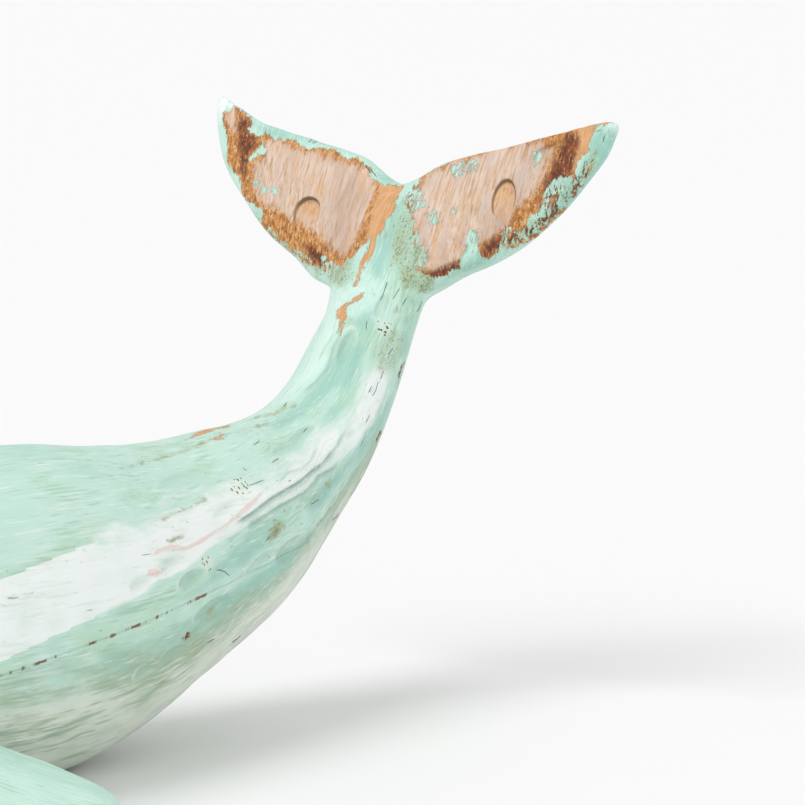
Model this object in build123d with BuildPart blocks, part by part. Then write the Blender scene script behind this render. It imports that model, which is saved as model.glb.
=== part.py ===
"""Carved wooden whale that lies on its flat belly with its tail raised.

The head points to -X, the tail to +X and +Z is up. The origin is on the table, under the
middle of the whole whale. Two planks glued one on the other make the trunk, a third block
is doweled to them as the tail stock, and the flukes and flippers are doweled on as well.
"""

import os
from math import cos, radians, sin, tan

from build123d import *

# Overall sizes, in millimetres
overall_length = 656.0
notch_height = 300.0
notch_setback = 23.0
body_diameter = 184.0
belly_cut = 8.6

# Flukes: each side has its own reach, because they are carved by hand
left_fluke_reach = 157.0
right_fluke_reach = 146.0
fluke_chord = 66.0
fluke_lean = 18.0
fluke_root_thickness = 36.0
fluke_tip_thickness = 7.0
fluke_root_front_edge = 26.0
fluke_root_rear_edge = 9.0
fluke_tip_edge = 5.0
fluke_joint_margin = 1.8

# Glue joints and dowels
glue_line_rise = 5.6
glue_line_tilt = 6.0
glue_gap = 0.1
socket_allowance = 1.0
trunk_dowel_diameter = 16.0
trunk_dowel_length = 70.0
trunk_dowel_pitch = 170.0
stock_dowel_diameter = 14.0
stock_dowel_length = 80.0
stock_dowel_circle_diameter = 48.0
stock_dowel_count = 3
first_dowel_angle = 30
fluke_dowel_diameter = 8.0
fluke_dowel_length = 40.0
fluke_dowel_pitch = 24.0
flipper_dowel_diameter = 8.0
flipper_dowel_length = 36.0

# Flippers
flipper_length = 136.0
flipper_width = 64.0
flipper_thickness = 17.0
flipper_sweep = 34.0
flipper_droop = 19.0
flipper_root_drop = 38.0
flipper_root_inset = 24.0

# Head
eye_diameter = 11.0
eye_rise = 17.6
eye_proud = 3.5
eye_shank_diameter = 4.0
eye_shank_length = 12.0
mouth_width = 4.0
mouth_depth = 2.5
mouth_drop = 4.4
mouth_dip = 7.0
mouth_length = 98.0

# Felt pads under the belly
pad_thickness = 3.0
pad_diameter = 20.0
pad_length_pitch = 110.0
pad_width_pitch = 36.0

# The centre line from the fork to the snout: place forward of the notch as a share of the
# run from notch to snout, height as a share of the rise from trunk to notch, then half
# width and half depth as shares of half the body's diameter
spine_shares = [
    (0.007, 0.889, 0.24, 0.10),
    (0.023, 0.806, 0.33, 0.16),
    (0.040, 0.713, 0.35, 0.22),
    (0.053, 0.629, 0.31, 0.27),
    (0.075, 0.528, 0.31, 0.32),
    (0.103, 0.414, 0.34, 0.34),
    (0.138, 0.315, 0.38, 0.38),
    (0.192, 0.222, 0.46, 0.465),
    (0.250, 0.151, 0.58, 0.585),
    (0.307, 0.102, 0.67, 0.665),
    (0.391, 0.055, 0.78, 0.78),
    (0.490, 0.014, 0.90, 0.94),
    (0.600, 0.000, 0.98, 1.00),
    (0.711, 0.000, 1.00, 0.98),
    (0.820, 0.006, 0.94, 0.90),
    (0.900, 0.012, 0.80, 0.75),
    (0.956, 0.012, 0.56, 0.52),
    (0.987, 0.008, 0.31, 0.28),
]
snout_rise_share = 0.006
neck_width_share = 0.35
stock_joint_share = 0.250

# Fluke outlines: place out from the middle as a share of the reach, then the front and
# the rear edge, measured up from the notch, as shares of the chord
left_fluke_shares = [
    (0.000, -0.91, 0.000),
    (0.076, -0.94, 0.065),
    (0.153, -0.98, 0.170),
    (0.217, -0.98, 0.245),
    (0.320, -0.93, 0.310),
    (0.446, -0.74, 0.370),
    (0.573, -0.58, 0.435),
    (0.700, -0.36, 0.500),
    (0.796, -0.15, 0.570),
    (0.892, 0.08, 0.675),
    (0.955, 0.33, 0.745),
    (0.987, 0.53, 0.770),
    (1.000, 0.64, 0.755),
]
right_fluke_shares = [
    (0.000, -0.91, 0.000),
    (0.082, -0.94, 0.085),
    (0.164, -0.96, 0.195),
    (0.233, -0.94, 0.255),
    (0.342, -0.83, 0.325),
    (0.479, -0.70, 0.390),
    (0.616, -0.55, 0.475),
    (0.753, -0.30, 0.555),
    (0.856, -0.05, 0.622),
    (0.925, 0.17, 0.655),
    (0.973, 0.35, 0.665),
    (1.000, 0.53, 0.655),
]
edge_roundness_share = 0.8
fluke_dowel_place_share = -0.36
thickness_power = 2.2

# Flipper sections: place out along the flipper as a share of its length, then the chord
# as a share of its width, the thickness as a share of its thickness, and how far the
# section is swept back, as a share of its width
flipper_shares = [
    (0.00, 0.78, 1.00, 0.00),
    (0.28, 0.92, 0.92, 0.00),
    (0.55, 1.00, 0.70, 0.03),
    (0.80, 0.80, 0.50, 0.10),
    (0.94, 0.48, 0.36, 0.18),
]
flipper_tip_share = 0.24

# Places along the body, forward of the notch, as shares of the run from notch to snout
flipper_place_share = 0.804
eye_place_share = 0.865
foot_place_share = 0.648

# Places and directions worked out from the sizes above
spine_run = overall_length - notch_setback
body_radius = body_diameter / 2
trunk_height = pad_thickness + body_radius - belly_cut
tail_rise = notch_height - trunk_height
notch = Vector(overall_length / 2 - notch_setback, 0, notch_height)
snout = Vector(notch.X - spine_run, 0, trunk_height + snout_rise_share * tail_rise)
fluke_joint_offset = neck_width_share * body_radius + fluke_joint_margin
across = Vector(0, 1, 0)
fluke_up = Vector(sin(radians(fluke_lean)), 0, cos(radians(fluke_lean)))
rows = range(len(spine_shares))
stock_joint_row = [row[0] for row in spine_shares].index(stock_joint_share)


def place(share):
    """Where a share of the run from notch to snout lies along X."""
    return notch.X - share * spine_run


def spine_point(row):
    """Where the centre line passes at one row of the table."""
    run_share, rise_share = spine_shares[row][:2]
    return Vector(place(run_share), 0, trunk_height + rise_share * tail_rise)


def spine_plane(row):
    """The plane square to the centre line at one row, facing the tail."""
    behind = spine_point(max(row - 1, 0))
    ahead = spine_point(min(row + 1, len(spine_shares) - 1))
    return Plane(spine_point(row), x_dir=across, z_dir=behind - ahead)


def body_section(row, inset):
    """The body's oval section at one row, drawn in by the inset."""
    width_share, depth_share = spine_shares[row][2:]
    with BuildSketch(spine_plane(row)) as section:
        Ellipse(body_radius * width_share - inset, body_radius * depth_share - inset)
    return section.sketch


def fluke_section(row, reach, hand):
    """A fluke's lens-shaped section at one row of its outline, square to the width."""
    out_share, front_share, rear_share = row
    fullness = (1 - out_share) ** thickness_power
    half = (fluke_tip_thickness + (fluke_root_thickness - fluke_tip_thickness) * fullness) / 2
    front_half = (fluke_tip_edge + (fluke_root_front_edge - fluke_tip_edge) * fullness) / 2
    rear_half = (fluke_tip_edge + (fluke_root_rear_edge - fluke_tip_edge) * fullness) / 2
    front = front_share * fluke_chord
    rear = rear_share * fluke_chord
    middle = (front + rear) / 2
    front_corner = front + front_half * edge_roundness_share
    rear_corner = rear - rear_half * edge_roundness_share
    plane = Plane(notch + across * (hand * out_share * reach), x_dir=fluke_up, z_dir=-across)
    with BuildSketch(plane) as section:
        with BuildLine():
            ThreePointArc((front_corner, -front_half), (front, 0), (front_corner, front_half))
            ThreePointArc((front_corner, front_half), (middle, half), (rear_corner, rear_half))
            ThreePointArc((rear_corner, rear_half), (rear, 0), (rear_corner, -rear_half))
            ThreePointArc((rear_corner, -rear_half), (middle, -half), (front_corner, -front_half))
        make_face()
    return section.sketch


def sockets(planes, diameter, length):
    """Holes square to the planes for dowels centred on them, a little wider and longer."""
    with BuildPart(*planes) as group:
        Cylinder(diameter / 2 + glue_gap, length + 2 * socket_allowance)
    return group.part


# The whole body from fork to snout, and a core that is the depth of the mouth line smaller
with BuildPart() as body:
    loft(sections=[body_section(row, 0) for row in rows] + [Vertex(*snout)])

head_rows = rows[stock_joint_row:]
core_tip = snout + Vector(mouth_depth, 0, 0)
with BuildPart() as body_core:
    loft(sections=[body_section(row, mouth_depth) for row in head_rows] + [Vertex(*core_tip)])

# The two whole flukes, each from the middle of the fork to its tip
with BuildPart() as left_form:
    loft(sections=[fluke_section(row, left_fluke_reach, 1) for row in left_fluke_shares])

with BuildPart() as right_form:
    loft(sections=[fluke_section(row, right_fluke_reach, -1) for row in right_fluke_shares])

# Joints: across the body for the tail stock, along it between the planks, and beside the fork
stock_joint = spine_plane(stock_joint_row)
glue_rise = tan(radians(glue_line_tilt))
glue_normal = Vector(-sin(radians(glue_line_tilt)), 0, cos(radians(glue_line_tilt)))
glue_height = trunk_height + glue_line_rise
glue_joint = Plane((0, 0, glue_height), x_dir=across, z_dir=glue_normal)
left_joint = Plane(notch + across * fluke_joint_offset, x_dir=fluke_up, z_dir=across)
right_joint = Plane(notch - across * fluke_joint_offset, x_dir=fluke_up, z_dir=-across)
belly_flat = Plane.XY.offset(pad_thickness)

# Dowel places
foot_x = place(foot_place_share)
trunk_dowel_places = [foot_x - trunk_dowel_pitch / 2, foot_x + trunk_dowel_pitch / 2]
trunk_dowel_planes = [
    Plane((x, 0, glue_height + x * glue_rise), x_dir=across, z_dir=glue_normal)
    for x in trunk_dowel_places
]
stock_dowel_spots = PolarLocations(
    stock_dowel_circle_diameter / 2, stock_dowel_count, start_angle=first_dowel_angle
)
stock_dowel_planes = [Plane(stock_joint * spot) for spot in stock_dowel_spots]


def side_point(x, z):
    """Where a straight line across the whale leaves the body's left side."""
    line = Axis((x, 0, z), (0, 1, 0))
    hits = [hit[0] for face in body.faces() for hit in face.find_intersection_points(line)]
    return max(hits, key=lambda point: point.Y)


# Fluke dowels: two on each side, along the width, in the thickest part of the root
fluke_dowel_middle = fluke_dowel_place_share * fluke_chord
fluke_dowel_spots = [
    fluke_dowel_middle - fluke_dowel_pitch / 2,
    fluke_dowel_middle + fluke_dowel_pitch / 2,
]
left_dowel_planes = [
    Plane(left_joint.origin + fluke_up * spot, x_dir=fluke_up, z_dir=across)
    for spot in fluke_dowel_spots
]
right_dowel_planes = [
    Plane(right_joint.origin + fluke_up * spot, x_dir=fluke_up, z_dir=across)
    for spot in fluke_dowel_spots
]

# Eyes: a round bead on a short shank, pressed into the left side of the head
eye_surface = side_point(place(eye_place_share), trunk_height + eye_rise)
eye_centre = eye_surface - across * (eye_diameter / 2 - eye_proud)
eye_plane = Plane(eye_centre, x_dir=(1, 0, 0), z_dir=across)


def eye_shape(clearance):
    """The bead and its shank, or the socket for them."""
    radius = eye_diameter / 2 + clearance
    shank_radius = eye_shank_diameter / 2 + clearance
    with BuildPart(eye_plane) as shape:
        Sphere(radius)
        Cylinder(
            shank_radius,
            radius + eye_shank_length + clearance,
            align=(Align.CENTER, Align.CENTER, Align.MAX),
        )
    return shape.part


# Flippers: the axis runs out, down and back from a root inside the body's left side
sweep = radians(flipper_sweep)
droop = radians(flipper_droop)
flipper_out = Vector(sin(sweep) * cos(droop), cos(sweep) * cos(droop), -sin(droop))
flipper_surface = side_point(place(flipper_place_share), trunk_height - flipper_root_drop)
flipper_root = flipper_surface - flipper_out * flipper_root_inset
flipper_back = (Vector(1, 0, 0).cross(flipper_out).cross(flipper_out) * -1).normalized()
flipper_joint = Plane(flipper_surface, x_dir=flipper_back, z_dir=flipper_out)


def flipper_section(out_share, chord_share, thick_share, back_share):
    """One oval section of the left flipper, square to its axis."""
    middle = flipper_root + flipper_out * (out_share * flipper_length)
    middle = middle + flipper_back * (back_share * flipper_width)
    with BuildSketch(Plane(middle, x_dir=flipper_back, z_dir=flipper_out)) as section:
        Ellipse(chord_share * flipper_width / 2, thick_share * flipper_thickness / 2)
    return section.sketch


flipper_tip = flipper_root + flipper_out * flipper_length
flipper_tip = flipper_tip + flipper_back * (flipper_tip_share * flipper_width)
flipper_socket = sockets([flipper_joint], flipper_dowel_diameter, flipper_dowel_length)

# The carved mouth line: a curved band across the snout, as deep as the core is inset
mouth_start = snout.X - mouth_depth
mouth_end = snout.X + mouth_length
mouth_middle = (mouth_start + mouth_end) / 2
mouth_height = trunk_height - mouth_drop
with BuildPart() as mouth_line:
    with BuildSketch(Plane.XZ):
        with BuildLine():
            upper = ThreePointArc(
                (mouth_start, mouth_height),
                (mouth_middle, mouth_height - mouth_dip),
                (mouth_end, mouth_height + mouth_dip),
            )
            lower = ThreePointArc(
                (mouth_start, mouth_height - mouth_width),
                (mouth_middle, mouth_height - mouth_dip - mouth_width),
                (mouth_end, mouth_height + mouth_dip - mouth_width),
            )
            Line(upper @ 0, lower @ 0)
            Line(upper @ 1, lower @ 1)
        make_face()
    extrude(amount=body_diameter, both=True)
    add(body.part, mode=Mode.INTERSECT)
    add(body_core.part, mode=Mode.SUBTRACT)

# Upper plank of the trunk, with the mouth line and the sockets for eyes and dowels
trunk_sockets = sockets(trunk_dowel_planes, trunk_dowel_diameter, trunk_dowel_length)
stock_sockets = sockets(stock_dowel_planes, stock_dowel_diameter, stock_dowel_length)
left_eye = eye_shape(0)
eye_socket = eye_shape(glue_gap)
with BuildPart() as trunk_upper:
    add(body.part)
    split(bisect_by=stock_joint, keep=Keep.BOTTOM)
    split(bisect_by=glue_joint, keep=Keep.TOP)
    add(trunk_sockets, mode=Mode.SUBTRACT)
    add(stock_sockets, mode=Mode.SUBTRACT)
    add(mouth_line.part, mode=Mode.SUBTRACT)
    add(eye_socket, mode=Mode.SUBTRACT)
    add(mirror(eye_socket, about=Plane.XZ, mode=Mode.PRIVATE), mode=Mode.SUBTRACT)

# Lower plank, planed flat under the belly
with BuildPart() as trunk_lower:
    add(body.part)
    split(bisect_by=stock_joint, keep=Keep.BOTTOM)
    split(bisect_by=glue_joint, keep=Keep.BOTTOM)
    split(bisect_by=belly_flat, keep=Keep.TOP)
    add(trunk_sockets, mode=Mode.SUBTRACT)
    add(stock_sockets, mode=Mode.SUBTRACT)
    add(mouth_line.part, mode=Mode.SUBTRACT)
    add(flipper_socket, mode=Mode.SUBTRACT)
    add(mirror(flipper_socket, about=Plane.XZ, mode=Mode.PRIVATE), mode=Mode.SUBTRACT)

# Flukes, cut off square where they meet the fork
left_sockets = sockets(left_dowel_planes, fluke_dowel_diameter, fluke_dowel_length)
right_sockets = sockets(right_dowel_planes, fluke_dowel_diameter, fluke_dowel_length)
with BuildPart() as fluke_left:
    add(left_form.part)
    split(bisect_by=left_joint, keep=Keep.TOP)
    add(left_sockets, mode=Mode.SUBTRACT)

with BuildPart() as fluke_right:
    add(right_form.part)
    split(bisect_by=right_joint, keep=Keep.TOP)
    add(right_sockets, mode=Mode.SUBTRACT)

# Tail stock: the rear of the body with both fluke roots grown out of it
with BuildPart() as left_root:
    add(left_form.part)
    split(bisect_by=left_joint, keep=Keep.BOTTOM)

with BuildPart() as right_root:
    add(right_form.part)
    split(bisect_by=right_joint, keep=Keep.BOTTOM)

with BuildPart() as tail_stock:
    add(body.part)
    split(bisect_by=stock_joint, keep=Keep.TOP)
    add(left_root.part)
    add(right_root.part)
    add(stock_sockets, mode=Mode.SUBTRACT)
    add(left_sockets, mode=Mode.SUBTRACT)
    add(right_sockets, mode=Mode.SUBTRACT)

# Flippers, their roots hollowed to sit on the body
with BuildPart() as flipper_left:
    loft(sections=[flipper_section(*row) for row in flipper_shares] + [Vertex(*flipper_tip)])
    add(body.part, mode=Mode.SUBTRACT)
    add(flipper_socket, mode=Mode.SUBTRACT)

with BuildPart() as flipper_right:
    add(mirror(flipper_left.part, about=Plane.XZ, mode=Mode.PRIVATE))

# Felt pads at the corners of the flat belly
with BuildPart() as felt_pads:
    with BuildSketch(Plane((foot_x, 0, 0))):
        with GridLocations(pad_length_pitch, pad_width_pitch, 2, 2):
            Circle(pad_diameter / 2)
    extrude(amount=pad_thickness)

with BuildPart() as eye_left:
    add(left_eye)

with BuildPart() as eye_right:
    add(mirror(left_eye, about=Plane.XZ, mode=Mode.PRIVATE))

with BuildPart(*trunk_dowel_planes) as trunk_dowels:
    Cylinder(trunk_dowel_diameter / 2, trunk_dowel_length)

with BuildPart(*stock_dowel_planes) as stock_dowels:
    Cylinder(stock_dowel_diameter / 2, stock_dowel_length)

with BuildPart(*left_dowel_planes) as fluke_dowels_left:
    Cylinder(fluke_dowel_diameter / 2, fluke_dowel_length)

with BuildPart(*right_dowel_planes) as fluke_dowels_right:
    Cylinder(fluke_dowel_diameter / 2, fluke_dowel_length)

with BuildPart(flipper_joint) as flipper_dowel_left:
    Cylinder(flipper_dowel_diameter / 2, flipper_dowel_length)

with BuildPart() as flipper_dowel_right:
    add(mirror(flipper_dowel_left.part, about=Plane.XZ, mode=Mode.PRIVATE))

pieces = {
    "trunk_upper": trunk_upper,
    "trunk_lower": trunk_lower,
    "tail_stock": tail_stock,
    "fluke_left": fluke_left,
    "fluke_right": fluke_right,
    "flipper_left": flipper_left,
    "flipper_right": flipper_right,
    "eye_left": eye_left,
    "eye_right": eye_right,
    "trunk_dowels": trunk_dowels,
    "stock_dowels": stock_dowels,
    "fluke_dowels_left": fluke_dowels_left,
    "fluke_dowels_right": fluke_dowels_right,
    "flipper_dowel_left": flipper_dowel_left,
    "flipper_dowel_right": flipper_dowel_right,
    "felt_pads": felt_pads,
}
os.makedirs("parts", exist_ok=True)
for name, piece in pieces.items():
    piece.part.label = name
    export_step(piece.part, f"parts/{name}.step")
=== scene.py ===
"""Dresses the carved whale: its planks, tail, flukes, flippers, eyes and pads, and the photographed view.

Shapes are worked out in millimetres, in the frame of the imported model, and written to the
meshes in metres. The head points to -X, the tail to +X, and +Z is up.
"""

from contextlib import contextmanager
from functools import cache, cached_property
from math import cos, degrees, pi, radians, sin

import bmesh
import bpy
import numpy as np
from bpy.props import FloatProperty, FloatVectorProperty, IntProperty, PointerProperty
from mathutils import Matrix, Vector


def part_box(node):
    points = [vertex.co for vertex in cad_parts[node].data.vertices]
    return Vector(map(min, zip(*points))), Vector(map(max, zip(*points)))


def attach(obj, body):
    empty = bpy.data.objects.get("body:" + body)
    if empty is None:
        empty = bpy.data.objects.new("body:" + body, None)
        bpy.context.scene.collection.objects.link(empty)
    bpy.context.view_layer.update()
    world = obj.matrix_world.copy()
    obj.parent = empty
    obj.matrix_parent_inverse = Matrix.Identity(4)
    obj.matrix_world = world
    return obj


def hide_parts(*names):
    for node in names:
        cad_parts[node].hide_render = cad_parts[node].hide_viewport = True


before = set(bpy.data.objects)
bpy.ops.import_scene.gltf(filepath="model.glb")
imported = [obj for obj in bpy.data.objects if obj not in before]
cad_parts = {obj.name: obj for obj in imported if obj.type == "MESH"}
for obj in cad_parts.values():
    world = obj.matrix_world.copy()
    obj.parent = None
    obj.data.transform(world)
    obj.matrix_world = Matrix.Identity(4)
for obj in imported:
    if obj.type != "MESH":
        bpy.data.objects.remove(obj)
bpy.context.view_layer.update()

bl_info = {
    "name": "Carved whale",
    "version": (1, 0, 0),
    "blender": (4, 5, 0),
    "location": "3D View > Sidebar > Whale",
    "description": "Builds the surfaces and finishes of a carved, painted wooden whale",
    "category": "Add Mesh",
}

MM = 0.001
# Depth, in pixels, of a point that is nowhere near a patch
NEVER = -20.0

# The body's driving sizes, as the solids have them
OVERALL_LENGTH = 656.0
NOTCH = np.array([305.0, 0.0, 300.0])
SPINE_RUN = 633.0
BODY_RADIUS = 92.0
TRUNK_HEIGHT = 86.4
TAIL_RISE = NOTCH[2] - TRUNK_HEIGHT
BELLY_FLAT = 3.0
GLUE_HEIGHT = 92.0
GLUE_TILT = radians(6)
STOCK_JOINT_SHARE = 0.250
PAD_RADIUS = 10.0
# How far past the stock's joint its field is worked out
PAST_JOINT = 60.0
# The part of the run that the photograph shows, and how much finer the trunk's grid is there
SEEN_SHARE = 0.58
FINER_ALONG = 1.7
FINER_ROUND = 1.5
# The girth that the trunk's cells round the body are counted for, and steps across the glue plane
GIRTH = 270
GLUE_STEPS = 24
# Mouth line: its length, and how far it starts below the trunk's height, dips and rises again
MOUTH_LENGTH = 98.0
MOUTH_BELOW = 6.4
MOUTH_DIP = 21.6
MOUTH_RISE = 7.0

# Centre line from fork to snout: place, height, half width and half depth, as shares
SPINE_SHARES = np.array([
    (0.007, 0.889, 0.24, 0.10),
    (0.023, 0.806, 0.33, 0.16),
    (0.040, 0.713, 0.35, 0.22),
    (0.053, 0.629, 0.31, 0.27),
    (0.075, 0.528, 0.31, 0.32),
    (0.103, 0.414, 0.34, 0.34),
    (0.138, 0.315, 0.38, 0.38),
    (0.192, 0.222, 0.46, 0.465),
    (0.250, 0.151, 0.58, 0.585),
    (0.307, 0.102, 0.67, 0.665),
    (0.391, 0.055, 0.78, 0.78),
    (0.490, 0.014, 0.90, 0.94),
    (0.600, 0.000, 0.98, 1.00),
    (0.711, 0.000, 1.00, 0.98),
    (0.820, 0.006, 0.94, 0.90),
    (0.900, 0.012, 0.80, 0.75),
    (0.956, 0.012, 0.56, 0.52),
    (0.987, 0.008, 0.31, 0.28),
    (1.000, 0.006, 0.00, 0.00),
])

# Flukes: out from the middle as a share of the reach, front and rear edge as shares of the chord
FLUKE_LEAN = radians(18)
FLUKE_CHORD = 66.0
LEFT_REACH = 157.0
RIGHT_REACH = 146.0
FLUKE_JOINT = 34.0
ARMPIT = 195.0
ROOT_THICKNESS = 36.0
TIP_THICKNESS = 7.0
ROOT_FRONT_EDGE = 26.0
ROOT_REAR_EDGE = 9.0
TIP_EDGE = 5.0
THICKNESS_POWER = 2.2
LEFT_FLUKE_SHARES = np.array([
    (0.000, -0.91, 0.000), (0.076, -0.94, 0.065), (0.153, -0.98, 0.170), (0.217, -0.98, 0.245),
    (0.320, -0.93, 0.310), (0.446, -0.74, 0.370), (0.573, -0.58, 0.435), (0.700, -0.36, 0.500),
    (0.796, -0.15, 0.570), (0.892, 0.08, 0.675), (0.955, 0.33, 0.745), (0.987, 0.53, 0.770),
    (1.000, 0.70, 0.740),
])
RIGHT_FLUKE_SHARES = np.array([
    (0.000, -0.91, 0.000), (0.082, -0.94, 0.085), (0.164, -0.96, 0.195), (0.233, -0.94, 0.255),
    (0.342, -0.83, 0.325), (0.479, -0.70, 0.390), (0.616, -0.55, 0.475), (0.753, -0.30, 0.555),
    (0.856, -0.05, 0.622), (0.925, 0.17, 0.655), (0.973, 0.35, 0.665), (1.000, 0.58, 0.640),
])

# The flat grid that the flukes' outlines are measured on, and the box of the tail's field
FLUKE_MAP_OUT = np.arange(-170.0, 172.0)
FLUKE_MAP_UP = np.arange(-90.0, 72.0)
TAIL_LOW = np.array([126.0, -RIGHT_REACH - 8, 50.0])
TAIL_HIGH = np.array([338.0, LEFT_REACH + 8, 362.0])

# Flippers: root and directions follow the solids' boxes; place, chord, thickness and sweep as shares
FLIPPER_LENGTH = 136.0
FLIPPER_WIDTH = 64.0
FLIPPER_THICKNESS = 17.0
FLIPPER_SWEEP = radians(34)
FLIPPER_DROOP = radians(19)
FLIPPER_SHARES = np.array([
    (0.00, 0.78, 1.00, 0.00),
    (0.28, 0.92, 0.92, 0.00),
    (0.55, 1.00, 0.70, 0.03),
    (0.80, 0.80, 0.50, 0.10),
    (0.94, 0.48, 0.36, 0.18),
    (1.00, 0.00, 0.00, 0.24),
])

# The photographed view
PHOTO_SIDE = 805
PHOTO_MIDDLE = 402.5
NOTCH_PIXEL = (405.0, 186.0)
VIEW_AZIMUTH = radians(-52)
VIEW_PITCH = radians(6.5)
VIEW_DISTANCE = 2600.0
FOCAL_PIXELS = 4347.0
SENSOR = 36.0

# Cosines to the camera between which a side of the whale comes into view
FACING = (-0.02, 0.16)
# Pixels over which ledges fade out at their ends, half width of the olive lines, and the pixels
# across between which the glue line comes in
LINE_FADE = 14
OLIVE_WIDTH = 1.6
GLUE_FADE = (214, 206)

# The world's strength as light, and as the camera sees it behind the floor's far edge
WORLD_LIGHT = 0.70
WORLD_SEEN = 0.955
FLOOR_RADIUS = 70000.0
# The lamps: power, width in degrees, and how far back, right and up of the photographed view
LAMPS = {"key": (1.25, 36, 0.33, -0.48, 0.81), "fill": (0.70, 70, 0.70, 0.60, 0.04)}

# Bare wood on the far fluke, in the photograph's pixels, and the paint islands in it
FAR_BARE = [
    (222, 112), (229, 113), (235, 107), (242, 110), (249, 117), (253, 122), (247, 129), (257, 137),
    (266, 133), (274, 139), (293, 139), (301, 146), (309, 150), (321, 148), (334, 149), (343, 157),
    (357, 158), (364, 164), (370, 169), (370, 176), (380, 182), (384, 186), (390, 184), (404, 187),
    (395, 201), (395, 209), (385, 221), (383, 229), (376, 241), (371, 256), (361, 272), (355, 287),
    (353, 286), (358, 272), (364, 256), (370, 238), (366, 244), (357, 248), (354, 253), (345, 262),
    (343, 267), (336, 265), (329, 260), (324, 264), (321, 269), (309, 259), (301, 251), (290, 247),
    (280, 237), (262, 224), (260, 219), (265, 214), (263, 209), (250, 202), (243, 195), (242, 184),
    (238, 177), (230, 167), (227, 157), (226, 144), (225, 130), (223, 117),
]
FAR_ISLANDS = [
    [(262, 142), (266, 149), (268, 153), (259, 154), (254, 160), (248, 162), (248, 158), (253, 152),
     (259, 149)],
    [(262, 186), (267, 188), (266, 193), (262, 192)],
    [(273, 188), (278, 189), (277, 194), (274, 193)],
    [(322, 256), (326, 257), (325, 261), (321, 260)],
    [(253, 182), (257, 180), (258, 184), (254, 186)],
]
FAR_TIP_RUB = [(227, 111), (234, 111), (237, 122), (235, 131), (230, 126)]
FAR_PALE = [
    (265, 142), (285, 144), (304, 153), (322, 157), (339, 161), (357, 167), (369, 176), (376, 187),
    (371, 205), (364, 219), (355, 235), (348, 248), (339, 254), (328, 248), (320, 235), (308, 227),
    (296, 221), (280, 210), (268, 201), (257, 193), (253, 182), (252, 170), (256, 163), (265, 157),
    (268, 149),
]
FAR_DARK = [
    (237, 115), (250, 120), (253, 125), (246, 130), (257, 138), (256, 147), (251, 156), (247, 164),
    (252, 176), (244, 181), (238, 166), (240, 150), (237, 134),
]
FAR_RED = [(301, 244), (312, 243), (326, 254), (328, 260), (321, 268), (309, 258)]
FAR_FRESH = [
    (380, 182), (404, 187), (395, 201), (395, 209), (385, 221), (383, 229), (371, 256), (355, 287),
    (353, 286), (366, 244), (370, 224), (375, 205),
]

# Bare wood on the near fluke
NEAR_BARE = [
    (418, 184), (420, 178), (440, 166), (466, 155), (497, 147), (520, 142), (543, 136), (567, 129),
    (584, 123), (595, 121), (594, 131), (589, 144), (586, 153), (579, 160), (576, 176), (574, 190),
    (564, 201), (553, 216), (545, 222), (540, 215), (536, 212), (528, 220), (525, 229), (517, 231),
    (509, 228), (502, 232), (501, 242), (497, 251), (489, 258), (481, 257), (478, 248), (474, 246),
    (468, 250), (463, 257), (459, 268), (456, 266), (448, 274), (439, 278), (427, 276), (417, 271),
    (415, 252), (419, 243), (416, 226), (413, 214), (407, 208), (406, 196), (413, 187),
]
NEAR_RIM = [(588, 121), (602, 119), (613, 122), (604, 124), (590, 126)]
NEAR_PALE = [
    (416, 188), (424, 178), (441, 169), (466, 158), (497, 150), (520, 145), (541, 140), (550, 150),
    (546, 166), (538, 184), (527, 200), (515, 214), (505, 228), (497, 232), (484, 242), (474, 248),
    (462, 254), (450, 263), (436, 269), (420, 268), (414, 254), (417, 240), (414, 224), (411, 206),
]
NEAR_DARK = [
    (571, 131), (580, 138), (578, 152), (573, 166), (572, 180), (574, 190), (563, 198), (548, 199),
    (541, 190), (546, 176), (555, 161), (561, 145),
]
NEAR_RED = [
    [(482, 243), (496, 236), (502, 232), (501, 245), (496, 252), (488, 258), (481, 257)],
    [(420, 273), (436, 270), (450, 264), (459, 262), (459, 268), (448, 274), (439, 278), (427, 276)],
]
NEAR_BAND = [
    (590, 158), (590, 172), (578, 190), (560, 212), (536, 234), (512, 246), (502, 242), (512, 232),
    (530, 222), (546, 208), (562, 192), (576, 172),
]
NEAR_FRESH = [
    (578, 127), (595, 124), (589, 144), (585, 154), (579, 160), (575, 174), (573, 160), (578, 144),
]
NEAR_SPECKLE = [
    [(451, 168), (462, 161), (474, 160), (480, 165), (477, 172), (466, 175), (454, 179)],
    [(532, 150), (540, 150), (541, 160), (535, 168), (532, 162)],
    [(407, 190), (418, 189), (427, 197), (426, 206), (416, 212), (408, 206)],
    [(428, 205), (439, 212), (440, 222), (430, 226), (424, 218)],
    [(467, 228), (479, 230), (479, 256), (464, 258), (466, 244)],
    [(416, 242), (428, 244), (430, 258), (424, 270), (416, 266), (413, 252)],
    [(546, 186), (560, 176), (574, 176), (574, 192), (563, 204), (546, 219), (538, 216), (540, 200)],
    [(451, 208), (459, 210), (457, 216), (450, 215)],
]

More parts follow.
